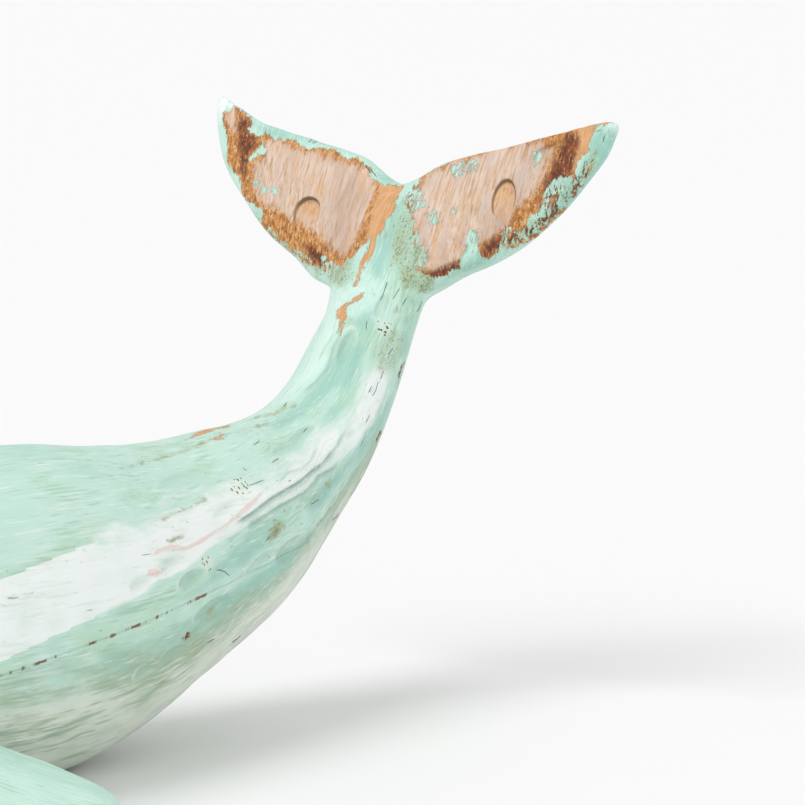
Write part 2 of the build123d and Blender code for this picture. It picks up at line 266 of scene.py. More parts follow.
# Chips and stains on the stock and the body, in the photograph's pixels
BODY_BARE = [
    [(338, 312), (345, 306), (352, 299), (358, 295), (364, 293), (362, 298), (356, 302), (350, 307),
     (346, 313), (347, 318), (344, 326), (339, 336), (342, 325), (341, 320), (337, 318)],
    [(186, 441), (196, 435), (206, 430), (228, 425), (229, 428), (206, 434), (190, 441)],
    [(214, 439), (221, 437), (226, 437), (221, 440), (215, 441)],
]
EDGE_CHIPS = [
    [(405, 362), (403, 366), (400, 377), (399, 377), (402, 364)],
    [(385, 428), (383, 434), (379, 443), (378, 443), (381, 433)],
    [(182, 638), (186, 632), (190, 633), (189, 637), (185, 640)],
]
STOCK_CHALK = [
    [(350, 290), (358, 284), (365, 290), (358, 298), (350, 300)],
    [(369, 376), (376, 369), (385, 367), (389, 376), (386, 392), (379, 408), (370, 424), (360, 431),
     (351, 423), (358, 406), (364, 390)],
]
# The chalky band on the side ridge lies between these lines: soft above, crisp below
CHALK_TOP = [
    (380, 405), (372, 415), (351, 415), (340, 421), (319, 433), (310, 448), (299, 457), (280, 468),
    (256, 480), (230, 490), (204, 500), (185, 508), (160, 517), (137, 525), (100, 540),
]
CHALK_FOOT = [
    (384, 400), (372, 415), (364, 430), (356, 447), (333, 467), (318, 475), (312, 483), (304, 491),
    (294, 497), (277, 506), (264, 515), (250, 524), (237, 531), (222, 541), (205, 552), (196, 561),
    (184, 571), (172, 576), (158, 581), (146, 592), (132, 600), (100, 615),
]
PINK_STREAK = [
    [(265, 489), (250, 501), (237, 513), (224, 524), (208, 534), (197, 540), (185, 547), (169, 544),
     (155, 550), (153, 555), (169, 551), (185, 551), (198, 545), (210, 537), (227, 526), (242, 515),
     (255, 503)],
    [(145, 570), (154, 568), (164, 573), (156, 577), (146, 576)],
]
OLIVE_SPOTS = [
    [(322, 490), (325, 483), (330, 480), (333, 483), (330, 489), (325, 492)],
    [(264, 541), (270, 529), (279, 521), (285, 523), (282, 533), (272, 542)],
    [(393, 314), (395, 305), (400, 304), (399, 313)],
    [(205, 616), (210, 609), (216, 606), (214, 613), (207, 618)],
    [(236, 573), (239, 568), (244, 566), (242, 571)],
]
OLIVE_LINES = [
    [(406, 196), (396, 212), (387, 228), (380, 240)],
    [(120, 468), (150, 461), (185, 451), (216, 439), (241, 433), (268, 426)],
    [(256, 419), (276, 416), (284, 411), (296, 407)],
    [(357, 468), (345, 488), (336, 502), (317, 526)],
    [(163, 520), (192, 506), (205, 500)],
    [(310, 501), (318, 495)],
    [(169, 541), (182, 536)],
]
STIPPLE = [
    [(390, 222), (398, 206), (406, 196), (412, 208), (418, 226), (421, 245), (418, 262), (426, 277),
     (440, 284), (426, 292), (406, 286), (396, 268), (390, 246)],
    [(597, 150), (588, 174), (570, 200), (545, 224), (515, 243), (484, 260), (470, 264), (486, 250),
     (506, 232), (528, 222), (546, 214), (562, 196), (576, 178), (586, 158)],
    [(254, 204), (266, 214), (282, 228), (300, 242), (312, 254), (324, 265), (340, 268), (354, 256),
     (358, 276), (342, 286), (322, 277), (300, 263), (280, 247), (260, 228)],
    [(378, 354), (384, 340), (392, 330), (404, 336), (404, 350), (396, 362), (386, 374), (377, 368)],
]
MOTTLED = [
    [(584, 158), (596, 164), (582, 192), (562, 216), (536, 240), (508, 252), (498, 244), (508, 228),
     (526, 218), (546, 209), (560, 196), (573, 182)],
    [(262, 220), (282, 236), (300, 248), (318, 264), (330, 260), (338, 268), (322, 273), (300, 261),
     (280, 245), (261, 230)],
    [(408, 196), (420, 190), (430, 200), (432, 224), (426, 240), (430, 258), (420, 272), (412, 250),
     (410, 222)],
    [(545, 190), (560, 178), (572, 178), (566, 200), (550, 214), (540, 208)],
]
# Fine dark cracks and ticks
CRACKS = [
    [(387, 283), (384, 292), (381, 299)], [(399, 289), (394, 298)], [(406, 299), (403, 304)],
    [(422, 302), (420, 307), (418, 311)], [(367, 323), (366, 329)], [(378, 383), (376, 390), (373, 395)],
    [(369, 416), (366, 422)], [(245, 471), (243, 469)], [(258, 443), (254, 446)], [(306, 429),
     (304, 431)],
    [(277, 460), (272, 463)], [(287, 405), (285, 407)], [(217, 570), (222, 571), (227, 575)],
    [(265, 541), (269, 537)], [(318, 500), (312, 504)], [(366, 166), (370, 172)], [(371, 169),
     (376, 176)],
    [(309, 142), (313, 139)], [(314, 143), (319, 140)], [(371, 387), (369, 392)], [(401, 378),
     (399, 386)],
    [(383, 372), (381, 378)], [(392, 349), (389, 354)], [(209, 643), (214, 639)], [(192, 700),
     (197, 695)],
    [(232, 642), (240, 636)], [(250, 486), (262, 481)], [(340, 513), (334, 520)], [(352, 497),
     (348, 503)],
    [(597, 131), (600, 130)], [(604, 137), (603, 141)], [(594, 159), (591, 162)], [(581, 176),
     (578, 181)],
    [(559, 208), (556, 212)], [(534, 228), (530, 231)], [(505, 226), (506, 236)], [(499, 246),
     (498, 252)],
]
PIN_CLUSTERS = [(384, 328, 8), (239, 487, 9), (205, 564, 7), (380, 321, 3)]

# Where the paint is deeper (below zero) or paler (above zero), with soft borders. The tints are partly
# the paint's own tone and partly painted light and shade: deeper on the sides turned away from the
# light, paler on the facets turned towards it
TINTS = [
    (-0.9, [(383, 392), (395, 372), (402, 366), (398, 385), (392, 405), (385, 425), (375, 445),
            (360, 462), (345, 480), (335, 492), (322, 505), (308, 512), (298, 506), (305, 498),
            (318, 486), (334, 474), (350, 456), (362, 436), (372, 415)]),
    (-0.8, [(262, 520), (285, 508), (300, 512), (290, 525), (270, 545), (250, 560), (232, 572),
            (215, 580), (200, 592), (180, 600), (160, 606), (137, 614), (100, 620), (100, 606),
            (137, 600), (160, 592), (190, 588), (205, 578), (215, 562), (230, 548), (247, 533)]),
    (-0.9, [(405, 296), (424, 296), (418, 325), (411, 350), (404, 364), (396, 355), (400, 330),
     (402, 310)]),
    (-0.7, [(340, 340), (348, 332), (356, 345), (350, 362), (340, 385), (325, 402), (300, 420),
            (280, 430), (262, 428), (290, 410), (318, 385), (328, 365)]),
    (-0.8, [(352, 320), (372, 312), (378, 330), (368, 352), (360, 380), (350, 404), (335, 420),
            (318, 424), (334, 400), (346, 372), (352, 345)]),
    (-0.8, [(372, 240), (404, 198), (418, 230), (424, 280), (410, 300), (392, 288), (376, 280),
     (366, 268)]),
    (0.6, [(352, 290), (346, 306), (338, 318), (337, 336), (331, 348), (328, 360), (320, 372), (308, 385),
           (290, 400), (262, 416), (240, 424), (262, 406), (282, 392), (300, 368), (310, 345), (320, 318),
           (326, 300), (336, 284)]),
    (0.1, [(372, 250), (392, 262), (400, 290), (396, 305), (384, 312), (370, 300), (362, 285)]),
    (-1.0, [(612, 126), (618, 134), (606, 158), (590, 182), (566, 208), (540, 230), (505, 252),
            (470, 268), (440, 286), (452, 270), (500, 240), (545, 214), (578, 172), (596, 130)]),
    (-0.8, [(240, 112), (262, 124), (300, 134), (345, 148), (375, 168), (400, 186), (378, 182),
            (358, 160), (330, 148), (300, 142), (262, 134)]),
    (-0.7, [(100, 650), (137, 640), (180, 620), (230, 590), (280, 555), (310, 530), (318, 545),
            (290, 585), (240, 635), (180, 680), (137, 705), (100, 720)]),
    (0.6, [(214, 112), (222, 112), (226, 150), (240, 190), (262, 222), (300, 254), (325, 270), (312, 276),
           (270, 245), (234, 205), (217, 160)]),
]

# Painted bounce light: a paler band along the body's lower right edge
PAINTED_BOUNCE_EDGE = [
    [(330, 532), (313, 562), (300, 582), (282, 603), (262, 623), (241, 643), (218, 663), (195, 683),
     (173, 703), (149, 723), (100, 768), (100, 750), (142, 713), (166, 692), (188, 672), (210, 652),
     (232, 633), (254, 613), (274, 593), (292, 573), (306, 554), (323, 530)],
]
# Chalky skins of paint on the flukes' tips
TIP_CHALK = [
    [(214, 96), (226, 93), (240, 106), (233, 110), (222, 112), (216, 122), (212, 108)],
    [(613, 121), (619, 124), (619, 134), (615, 140), (615, 128)],
]

# Ledges: the carved skin steps down across each line and climbs back below it. Line from upper
# right to lower left, step in millimetres, and how many pixels it takes to climb back
LEDGES = [
    ([(336, 444), (322, 462), (310, 471), (301, 479), (288, 487), (272, 496), (251, 512), (232, 524)],
     1.8, 14),
    ([(340, 458), (333, 467), (318, 475), (312, 483), (304, 491), (294, 497), (277, 506), (264, 515),
     (247, 526)], 1.0, 12),
    ([(341, 330), (339, 337), (333, 347), (330, 358), (326, 369), (316, 382), (300, 395)], 0.7, 17),
    ([(366, 452), (357, 468), (345, 488), (336, 502), (317, 526), (300, 548)], 0.6, 20),
    ([(345, 430), (340, 436), (336, 445), (330, 453), (321, 464)], 0.8, 10),
    ([(317, 440), (314, 450), (309, 461), (300, 469), (287, 472), (280, 479), (273, 490)], 0.5, 9),
    ([(406, 357), (403, 364), (399, 378), (394, 392)], 0.8, 8),
    ([(574, 132), (565, 138), (550, 145), (539, 149), (530, 153)], 1.1, 8),
    ([(384, 286), (378, 300), (370, 316)], 0.25, 10),
]

# Thumb-shaped gouge cuts in the flukes and oval cuts in the body: middle, half length and half
# width in pixels, direction in degrees from the photograph's right, and depth in millimetres
THUMB_CUTS = [(306.5, 212, 16.5, 12.5, 117, 3.4), (503.5, 200, 22, 11.5, 102, 2.6)]
OVAL_CUTS = [
    (290, 549, 20, 8, 137, 1.5), (257, 522, 13, 6, 143, 1.1), (226, 511, 17, 8, 145, 0.7),
    (173, 563, 18, 10, 150, 1.8), (141, 584, 14, 9, 150, 1.9), (190, 579, 16, 8, 144, 1.6),
    (213, 608, 24, 8, 144, 1.5), (269, 593, 17, 6, 133, 1.0), (244, 614, 14, 6, 133, 0.8),
    (174, 658, 18, 9, 142, 1.4), (147, 673, 15, 8, 142, 1.2), (352, 435, 8, 6, 130, 0.9),
    (282, 450, 13, 7, 150, 0.4), (347, 348, 20, 9, 112, 0.9), (262, 562, 22, 7, 140, 0.6),
    (318, 540, 18, 6, 125, 0.5), (232, 655, 20, 6, 138, 0.5), (382, 306, 15, 7, 115, 0.6),
    (300, 440, 22, 9, 138, 0.5), (180, 480, 26, 9, 160, 0.2),
]

# Shares of the run, and the ridges' angles there, in degrees round the body from the back
SIDE_RIDGE = [(0.10, 0.137, 0.191, 0.264, 0.336, 0.434, 0.512, 0.70), (80, 75, 71, 66, 69, 79, 81, 86)]
BACK_RIDGE = [(0.04, 0.09, 0.14, 0.20, 0.30), (16, 9, 9, 12, 14)]


def srgb(red, green, blue):
    """A colour given in screen units from 0 to 255, as the linear values that shaders use."""
    part = np.array([red, green, blue]) / 255
    return tuple(np.where(part <= 0.04045, part / 12.92, ((part + 0.055) / 1.055) ** 2.4))


# Lesser colours of wood, paint, beads and felt
GOLD_DEEP = srgb(168, 108, 52)
GOLD_LIGHT = srgb(230, 182, 124)
GOLD_PALE = srgb(240, 200, 138)
RUST = srgb(112, 62, 34)
RUST_LIGHT = srgb(158, 78, 32)
TAN = srgb(204, 166, 132)
HONEY = srgb(222, 174, 124)
DUSK = srgb(172, 140, 122)
GREY_WASH = srgb(196, 178, 170)
UMBER = srgb(120, 84, 56)
BARK = srgb(104, 74, 48)
SOOT = srgb(70, 36, 20)
PEELED = srgb(208, 152, 100)
SAGE = srgb(178, 216, 186)
CLAY = srgb(172, 188, 160)
CLAY_LIGHT = srgb(222, 228, 216)
MURK = srgb(148, 170, 138)
CREASE = srgb(112, 148, 126)
MOSS = srgb(132, 170, 148)
MOSS_LIGHT = srgb(172, 204, 186)
CREAM = srgb(236, 236, 214)
LICHEN = srgb(122, 112, 82)
HOLE = srgb(66, 48, 32)
DOWEL = srgb(196, 156, 112)
DOWEL_LIGHT = srgb(224, 192, 150)
BEAD_HEART = srgb(48, 34, 24)
FELT_LIGHT = srgb(118, 124, 114)
FLOOR_GREY = (0.86, 0.86, 0.86)
FLOOR_SEEN = (0.90, 0.90, 0.90)


def length_property(name, description, millimetres):
    """A length that a user would change."""
    return FloatProperty(name=name, description=description, default=millimetres * MM, unit="LENGTH")


def colour_property(name, description, *screen):
    """A colour that a user would change, from screen units."""
    return FloatVectorProperty(
        name=name, description=description, default=srgb(*screen), size=3, subtype="COLOR")


class WhaleSizes(bpy.types.PropertyGroup):
    """Sizes of the carving that a user would change."""

    tail_pitch: length_property("Tail grid", "Cell size of the tail's surface", 1.1)
    trunk_pitch: length_property("Trunk grid", "Cell size of the trunk's surface", 1.6)
    fork_blend: length_property("Fork blend", "How far the flukes and the stock melt together", 15)
    edge_round: length_property("Fluke edge", "Rounding of the flukes' edges", 3.5)
    ridge_height: length_property("Ridge", "Height of the ridges along back and sides", 1.6)
    gouge_depth: length_property("Gouge cuts", "Depth of the carver's small cuts", 0.8)
    gouge_length: length_property("Cut length", "Spacing of the cuts along the grain", 30)
    gouge_rows: IntProperty(
        name="Cut rows", description="Rows of cuts round the body", default=46, min=8, max=90)
    hand_wander: length_property("Unevenness", "Slow waviness left by the hand", 0.35)
    pleat_depth: length_property("Throat pleats", "Depth of the grooves under the chin", 1.1)
    mouth_depth: length_property("Mouth line", "Depth of the carved mouth", 2.4)


class WhaleColours(bpy.types.PropertyGroup):
    """Colours of the finishes that a user would change."""

    paint: colour_property("Paint", "Chalky green paint", 196, 229, 216)
    paint_pale: colour_property("Pale paint", "Paint where it is rubbed thin", 220, 240, 233)
    paint_deep: colour_property("Deep paint", "Paint in sheltered places", 148, 198, 184)
    chalk: colour_property("Chalk", "Whitish rubbed ridges", 242, 247, 245)
    olive: colour_property("Olive stain", "Dirt in cuts and creases", 158, 164, 118)
    pink: colour_property("Pink streak", "Worn undercoat on the side ridge", 228, 200, 190)
    wood_pale: colour_property("Bleached wood", "Middle of the bare flukes", 229, 210, 198)
    wood_warm: colour_property("Warm wood", "Wood beside the paint's edge", 208, 144, 80)
    wood_fresh: colour_property("Fresh wood", "Wood where the paint has just gone", 226, 178, 132)
    wood_dark: colour_property("Dark wood", "Stained wood near the tips", 88, 38, 20)
    felt: colour_property("Felt", "Pads under the belly", 86, 92, 84)
    bead: colour_property("Eye bead", "Glass beads", 18, 15, 14)


# Places and curves worked out from the sizes


def smooth(value, low, high):
    """Zero at low, one at high, and an even S between."""
    share = np.clip((value - low) / (high - low), 0, 1)
    return share * share * (3 - 2 * share)


def running(steps):
    """The sum of the steps so far, from zero."""
    return np.concatenate([[0], np.cumsum(steps)])


def spline(knots, values, places):
    """Natural cubic spline: the curve through the values at the knots whose slope and bend are
    continuous and whose bend is zero at both ends, read at the places."""
    steps = np.diff(knots)
    inner = np.arange(1, len(knots) - 1)
    matrix = np.eye(len(knots))
    matrix[inner, inner - 1] = steps[:-1]
    matrix[inner, inner] = 2 * (steps[:-1] + steps[1:])
    matrix[inner, inner + 1] = steps[1:]
    right = np.zeros_like(values)
    right[1:-1] = 6 * np.diff(np.diff(values, axis=0) / steps[:, None], axis=0)
    bend = np.linalg.solve(matrix, right)
    cell = np.clip(np.searchsorted(knots, places, side="right") - 1, 0, len(knots) - 2)
    step = steps[cell][:, None]
    after = (places - knots[cell])[:, None]
    before = step - after
    cubic = (bend[cell] * before**3 + bend[cell + 1] * after**3) / (6 * step)
    left = (values[cell] / step - bend[cell] * step / 6) * before
    return cubic + left + (values[cell + 1] / step - bend[cell + 1] * step / 6) * after


class Spine:
    """The whale's centre line, sampled finely from the fork to the snout.

    The rows are joined by a spline over the distance along the outline, and the last rows are
    mirrored past the snout, so that the nose is round."""

    def __init__(self):
        rows = SPINE_SHARES * [-SPINE_RUN, TAIL_RISE, BODY_RADIUS, BODY_RADIUS]
        rows = rows + [NOTCH[0], TRUNK_HEIGHT, 0, 0]
        table = np.vstack([rows, rows[-2:-5:-1] * [1, 1, -1, -1]])
        gaps = np.diff(table, axis=0)
        steps = np.sqrt(gaps[:, 0] ** 2 + gaps[:, 1] ** 2 + (gaps[:, 2] ** 2 + gaps[:, 3] ** 2) / 2)
        knots = running(steps)
        self.end = knots[len(rows) - 1]
        self.joint = knots[list(SPINE_SHARES[:, 0]).index(STOCK_JOINT_SHARE)]
        self.fine = np.linspace(0, self.end, 2400)
        self.table = spline(knots, table, self.fine)
        self.length = running(np.linalg.norm(np.diff(self.table[:, :2], axis=0), axis=1))
        run = np.gradient(self.table[:, :2], axis=0)
        run[-12:] = run[-13]
        self.tangent = run / np.linalg.norm(run, axis=1, keepdims=True)

    def at(self, places):
        """Centre x and z, half width, half depth, tangent x and z, and length from the fork, at places."""
        columns = np.column_stack([self.table, self.tangent, self.length])
        return [np.interp(places, self.fine, column) for column in columns.T]

    def share(self, places):
        """Place along X, forward of the notch, as a share of the run."""
        return (NOTCH[0] - self.at(places)[0]) / SPINE_RUN

    def nearest(self, x, z):
        """The place whose cross-section plane holds each (x, z): the nearest sample, moved along
        the tangent, and how far the point lies beyond the upper end."""
        last = self.joint + PAST_JOINT
        best = np.full(x.shape, np.inf)
        place = np.zeros(x.shape)
        for chosen in range(0, np.searchsorted(self.fine, last), 6):
            gap = (x - self.table[chosen, 0]) ** 2 + (z - self.table[chosen, 1]) ** 2
            closer = gap < best
            best = np.where(closer, gap, best)
            place = np.where(closer, self.fine[chosen], place)
        for _ in range(2):
            cx, cz, _, _, tx, tz, _ = self.at(place)
            place = np.clip(place + (x - cx) * tx + (z - cz) * tz, 0, last)
        cx, cz, _, _, tx, tz, _ = self.at(place)
        beyond = np.maximum(-((x - cx) * tx + (z - cz) * tz), 0) * (place <= 0)
        return place, beyond


SPINE = Spine()


def body_coordinates(points, known=None):
    """For each point: place along the spine, distance from the fork, height over the centre line,
    angle from the back towards the near side, and the tube's value, zero on the body's skin."""
    place, beyond = known or SPINE.nearest(points[..., 0], points[..., 2])
    cx, cz, wide, deep, tx, tz, length = SPINE.at(place)
    up = (points[..., 0] - cx) * tz - (points[..., 2] - cz) * tx
    across = points[..., 1]
    angle = np.arctan2(-across / wide, up / deep)
    value = (np.hypot(across / wide, up / deep) - 1) * np.sqrt(wide * deep) + beyond
    return place, length - beyond, up, angle, value


def fluke_outline(shares, reach, hand):
    """The outline of one fluke in its own plane: out along Y, and up from the notch, as a smooth
    line through the front edge's points and back through the rear edge's."""
    out = shares[:, 0] * reach
    front = np.column_stack([out, shares[:, 1] * FLUKE_CHORD])
    rear = np.column_stack([out, shares[:, 2] * FLUKE_CHORD])[::-1]
    points = np.vstack([front, rear])
    steps = np.linalg.norm(np.diff(points, axis=0), axis=1)
    knots = running(steps)
    line = spline(knots, points, np.linspace(0, knots[-1], 160))
    line[[0, -1], 0] = -40
    return line * [hand, 1]


def inside_depth(points, outline):
    """How far inside a closed outline each flat point lies: the least distance to its sides,
    negative outside, where an odd number of sides crosses the ray to the right."""
    first = np.asarray(outline, float)
    side = np.roll(first, -1, axis=0) - first
    gap = np.full(len(points), np.inf)
    odd = np.zeros(len(points), bool)
    for corner, step in zip(first, side, strict=True):
        offset = points - corner
        along = np.clip(offset @ step / max(step @ step, 1e-9), 0, 1)
        gap = np.minimum(gap, ((offset - along[:, None] * step) ** 2).sum(1))
        crossing = (offset[:, 1] < 0) != (offset[:, 1] < step[1])
        rise = np.where(step[1] == 0, 1, step[1])
        odd ^= crossing & (offset[:, 0] < offset[:, 1] / rise * step[0])
    gap = np.sqrt(gap)
    return np.where(odd, gap, -gap)


def line_gap(points, line):
    """Distance of each flat point from a line of straight runs, above zero on the lower right of
    a line that runs from upper right to lower left."""
    line = np.asarray(line, float)
    gap = np.full(len(points), np.inf)
    side = np.ones(len(points))
    for corner, step in zip(line[:-1], np.diff(line, axis=0), strict=True):
        offset = points - corner
        along = np.clip(offset @ step / (step @ step), 0, 1)
        square = ((offset - along[:, None] * step) ** 2).sum(1)
        turn = np.where(step[0] * offset[:, 1] > step[1] * offset[:, 0], -1, 1)
        side = np.where(square < gap, turn, side)
        gap = np.minimum(gap, square)
    return np.sqrt(gap) * side


class Photo:
    """The photographed view: where it shows a point, in pixels."""

    def __init__(self):
        turn, pitch = VIEW_AZIMUTH, VIEW_PITCH
        self.back = np.array([sin(turn) * cos(pitch), -cos(turn) * cos(pitch), sin(pitch)])
        self.right = np.array([cos(turn), sin(turn), 0.0])
        self.up = np.cross(self.back, self.right)
        across = (NOTCH_PIXEL[0] - PHOTO_MIDDLE) / FOCAL_PIXELS
        above = (PHOTO_MIDDLE - NOTCH_PIXEL[1]) / FOCAL_PIXELS
        ray = self.right * across + self.up * above - self.back
        self.place = NOTCH - VIEW_DISTANCE * ray / np.linalg.norm(ray)

    def pixels(self, points):
        """The point less the camera's place, its parts along right and up over its depth."""
        offset = points - self.place
        depth = -(offset @ self.back)
        scale = FOCAL_PIXELS / depth
        return np.column_stack([
            PHOTO_MIDDLE + scale * (offset @ self.right),
            PHOTO_MIDDLE - scale * (offset @ self.up),
        ])

    def facing(self, points, normals):
        """Cosine between each normal and the line to the camera."""
        line = self.place - points
        return (line * normals).sum(1) / np.linalg.norm(line, axis=1)


PHOTO = Photo()
FLUKE_UP = np.array([sin(FLUKE_LEAN), 0, cos(FLUKE_LEAN)])
FLUKE_FRONT = np.array([-cos(FLUKE_LEAN), 0, sin(FLUKE_LEAN)])


def fluke_depth_map():
    """Distance inside the outline of the two flukes on a flat grid of out and up, one side each."""
    flat = np.stack(np.meshgrid(FLUKE_MAP_OUT, FLUKE_MAP_UP, indexing="ij"), -1).reshape(-1, 2)
    left = inside_depth(flat, fluke_outline(LEFT_FLUKE_SHARES, LEFT_REACH, 1))
    right = inside_depth(flat, fluke_outline(RIGHT_FLUKE_SHARES, RIGHT_REACH, -1))
    return np.maximum(left, right).reshape(len(FLUKE_MAP_OUT), len(FLUKE_MAP_UP))


def read_map(depth, out, up):
    """Bilinear reading of the flat map, whose cells are one millimetre wide, at places out and up."""
    i = np.clip(out - FLUKE_MAP_OUT[0], 0, len(FLUKE_MAP_OUT) - 1.001)
    j = np.clip(up - FLUKE_MAP_UP[0], 0, len(FLUKE_MAP_UP) - 1.001)
    i0, j0 = i.astype(int), j.astype(int)
    fi, fj = i - i0, j - j0
    near = depth[i0, j0] * (1 - fi) + depth[i0 + 1, j0] * fi
    far = depth[i0, j0 + 1] * (1 - fi) + depth[i0 + 1, j0 + 1] * fi
    return near * (1 - fj) + far * fj


def fluke_value(points, depth):
    """The flukes' field: the lens-shaped half thickness set against the distance through the
    blade, and the distance inside the outline, joined with a rounded edge."""
    across = points[..., 1]
    offset_x = points[..., 0] - NOTCH[0]
    offset_z = points[..., 2] - NOTCH[2]
    up = offset_x * FLUKE_UP[0] + offset_z * FLUKE_UP[2]
    through = np.abs(offset_x * FLUKE_FRONT[0] + offset_z * FLUKE_FRONT[2])
    left = across > 0
    share = np.clip(np.abs(across) / np.where(left, LEFT_REACH, RIGHT_REACH), 0, 1)
    edges = [
        np.array([np.interp(share, table[:, 0], column) for column in table[:, 1:].T])
        for table in (LEFT_FLUKE_SHARES, RIGHT_FLUKE_SHARES)]
    front, rear = np.where(left, *edges) * FLUKE_CHORD
    full = (1 - share) ** THICKNESS_POWER
    middle, front_edge, rear_edge = (
        (tip + (root - tip) * full) / 2
        for tip, root in (
            (TIP_THICKNESS, ROOT_THICKNESS), (TIP_EDGE, ROOT_FRONT_EDGE), (TIP_EDGE, ROOT_REAR_EDGE)))
    place = np.clip((up - front) / np.maximum(rear - front, 1), 0, 1)
    half = front_edge * (1 - place) * (1 - 2 * place) + 4 * middle * place * (1 - place)
    half = half + rear_edge * place * (2 * place - 1)
    size = bpy.context.scene.whale_sizes.edge_round / MM
    inner = np.minimum(half, size) * 0.9
    a = through - half + inner
    b = inner - read_map(depth, across, up)
    corner = np.hypot(np.maximum(a, 0), np.maximum(b, 0))
    return np.minimum(np.maximum(a, b), 0) + corner - inner


def tail_value(points, depth, known=None):
    """The tail's field: the lesser of the stock's and the flukes', melted together where they
    are alike."""
    tube = body_coordinates(points, known)[4]
    blade = fluke_value(points, depth)
    reach = bpy.context.scene.whale_sizes.fork_blend / MM
    alike = np.maximum(reach - np.abs(tube - blade), 0) / reach
    return np.minimum(tube, blade) - alike**3 * reach / 6


def surface_net(field, origin, pitch):
    """Surface net: one vertex in each grid cell that the surface crosses, at the mean of the
    crossings on the cell's edges, and a quad across each grid edge that it crosses, facing out."""
    inside = field < 0
    low, high = slice(None, -1), slice(1, None)
    corners = [(a, b, c) for a in (0, 1) for b in (0, 1) for c in (0, 1)]
    count = sum(inside[tuple(high if step else low for step in corner)].astype(np.int8) for corner in corners)
    mixed = (count > 0) & (count < 8)
    number = np.full(mixed.shape, -1)
    number[mixed] = np.arange(mixed.sum())
    cells = np.argwhere(mixed)
    total = np.zeros((len(cells), 3))
    crossings = np.zeros(len(cells))
    quads = []
    for axis in range(3):
        b_axis, c_axis = (axis + 1) % 3, (axis + 2) % 3
        for b in (0, 1):
            for c in (0, 1):
                start = cells.copy()
                start[:, b_axis] += b
                start[:, c_axis] += c
                stop = start.copy()
                stop[:, axis] += 1
                near, far = field[tuple(start.T)], field[tuple(stop.T)]
                crossed = (near < 0) != (far < 0)
                share = np.where(crossed, near / np.where(crossed, near - far, 1), 0)
                spot = start.astype(float)
                spot[:, axis] += share
                total += np.where(crossed[:, None], spot, 0)
                crossings += crossed
        lower = np.take(inside, range(field.shape[axis] - 1), axis)
        upper = np.take(inside, range(1, field.shape[axis]), axis)
        edges = np.argwhere(lower != upper)
        edges = edges[(edges[:, b_axis] > 0) & (edges[:, c_axis] > 0)]
        limit = np.array(mixed.shape)
        edges = edges[(edges < limit).all(1)]
        ring = []
        for b, c in ((1, 1), (0, 1), (0, 0), (1, 0)):
            cell = edges.copy()
            cell[:, b_axis] -= b
            cell[:, c_axis] -= c
            ring.append(number[tuple(cell.T)])
        quad = np.column_stack(ring)
        outward = inside[tuple(edges.T)]
        quads.append(np.where(outward[:, None], quad, quad[:, ::-1]))
    vertices = origin + pitch * total / crossings[:, None]
    quads = np.vstack(quads)
    return vertices, quads[(quads >= 0).all(1)]


def gradient(function, points, step=0.4):
    """Slope of a field at points, by differences along the three axes."""
    slope = np.empty_like(points)
    for axis in range(3):
        shift = np.zeros(3)
        shift[axis] = step
        slope[:, axis] = (function(points + shift) - function(points - shift)) / (2 * step)
    return slope


# Carving: how far each point of the skin is raised or cut, along its normal


def wander(points, wavelength, seed):
    """Slow, seeded waviness: the mean of eight sine waves in random directions."""
    draw = np.random.default_rng(seed)
    direction = draw.normal(size=(8, 3))
    direction /= np.linalg.norm(direction, axis=1, keepdims=True)
    turn = direction * (2 * pi / wavelength) * draw.uniform(0.6, 1.5, (8, 1))
    return np.sin(points @ turn.T + draw.uniform(0, 2 * pi, 8)).mean(1)


def chance(i, j, seed):
    """A fixed random share for each cell of a grid: the fraction of a large sine."""
    return np.modf(np.abs(np.sin(i * 127.1 + j * 311.7 + seed * 74.7) * 43758.5453))[0]


def gouge_pattern(length, angle, rows, spacing):
    """Depth share of the carver's cuts: each cell of a staggered grid along the body and round
    it holds one long oval dip at a random place, and the deepest at a point counts."""
    along = length / spacing
    around = (angle / (2 * pi) + 0.5) * rows
    deepest = np.zeros(len(length))
    for di in (-1, 0, 1):
        for dj in (-1, 0, 1):
            row = np.floor(around) + dj
            stagger = chance(row % rows, 0, 3)
            cell = np.floor(along + stagger) + di
            middle_along = cell + 0.5 + 0.5 * (chance(cell, row % rows, 1) - 0.5) - stagger
            middle_around = row + 0.5 + 0.6 * (chance(cell, row % rows, 2) - 0.5)
            size = 0.32 + 0.22 * chance(cell, row % rows, 4)
            far = ((along - middle_along) / size) ** 2 + ((around - middle_around) / 0.62) ** 2
            dip = np.clip(1 - far, 0, 1) ** 1.3 * (0.25 + 0.75 * chance(cell, row % rows, 5))
            deepest = np.maximum(deepest, dip)
    return deepest


def views(points, normals, on_fluke):
    """The photograph's pixel of each point and the weight it counts with, and the same for the
    point's mirror image, so that the far side of the body is carved and worn like the near one."""
    facing = np.maximum(smooth(PHOTO.facing(points, normals), *FACING), on_fluke)
    flip = np.array([1, -1, 1])
    mirrored = smooth(PHOTO.facing(points * flip, normals * flip), *FACING) * (1 - facing)
    return [(PHOTO.pixels(points), facing), (PHOTO.pixels(points * flip), mirrored)]


def oval(pixel, x, y, half_length, half_width, direction):
    """Place along and across an oval in its own half sizes, and how far out that is."""
    offset = pixel - (x, y)
    turn = radians(direction)
    along = offset @ (cos(turn), sin(turn)) / half_length
    across = offset @ (-sin(turn), cos(turn)) / half_width
    return along, across, np.hypot(along, across)


def end_fade(pixel, line):
    """Zero at a line's ends, and one where both are far enough away."""
    ends = np.minimum(*(np.hypot(*(pixel - end).T) for end in (line[0], line[-1])))
    return smooth(ends, 0, LINE_FADE)


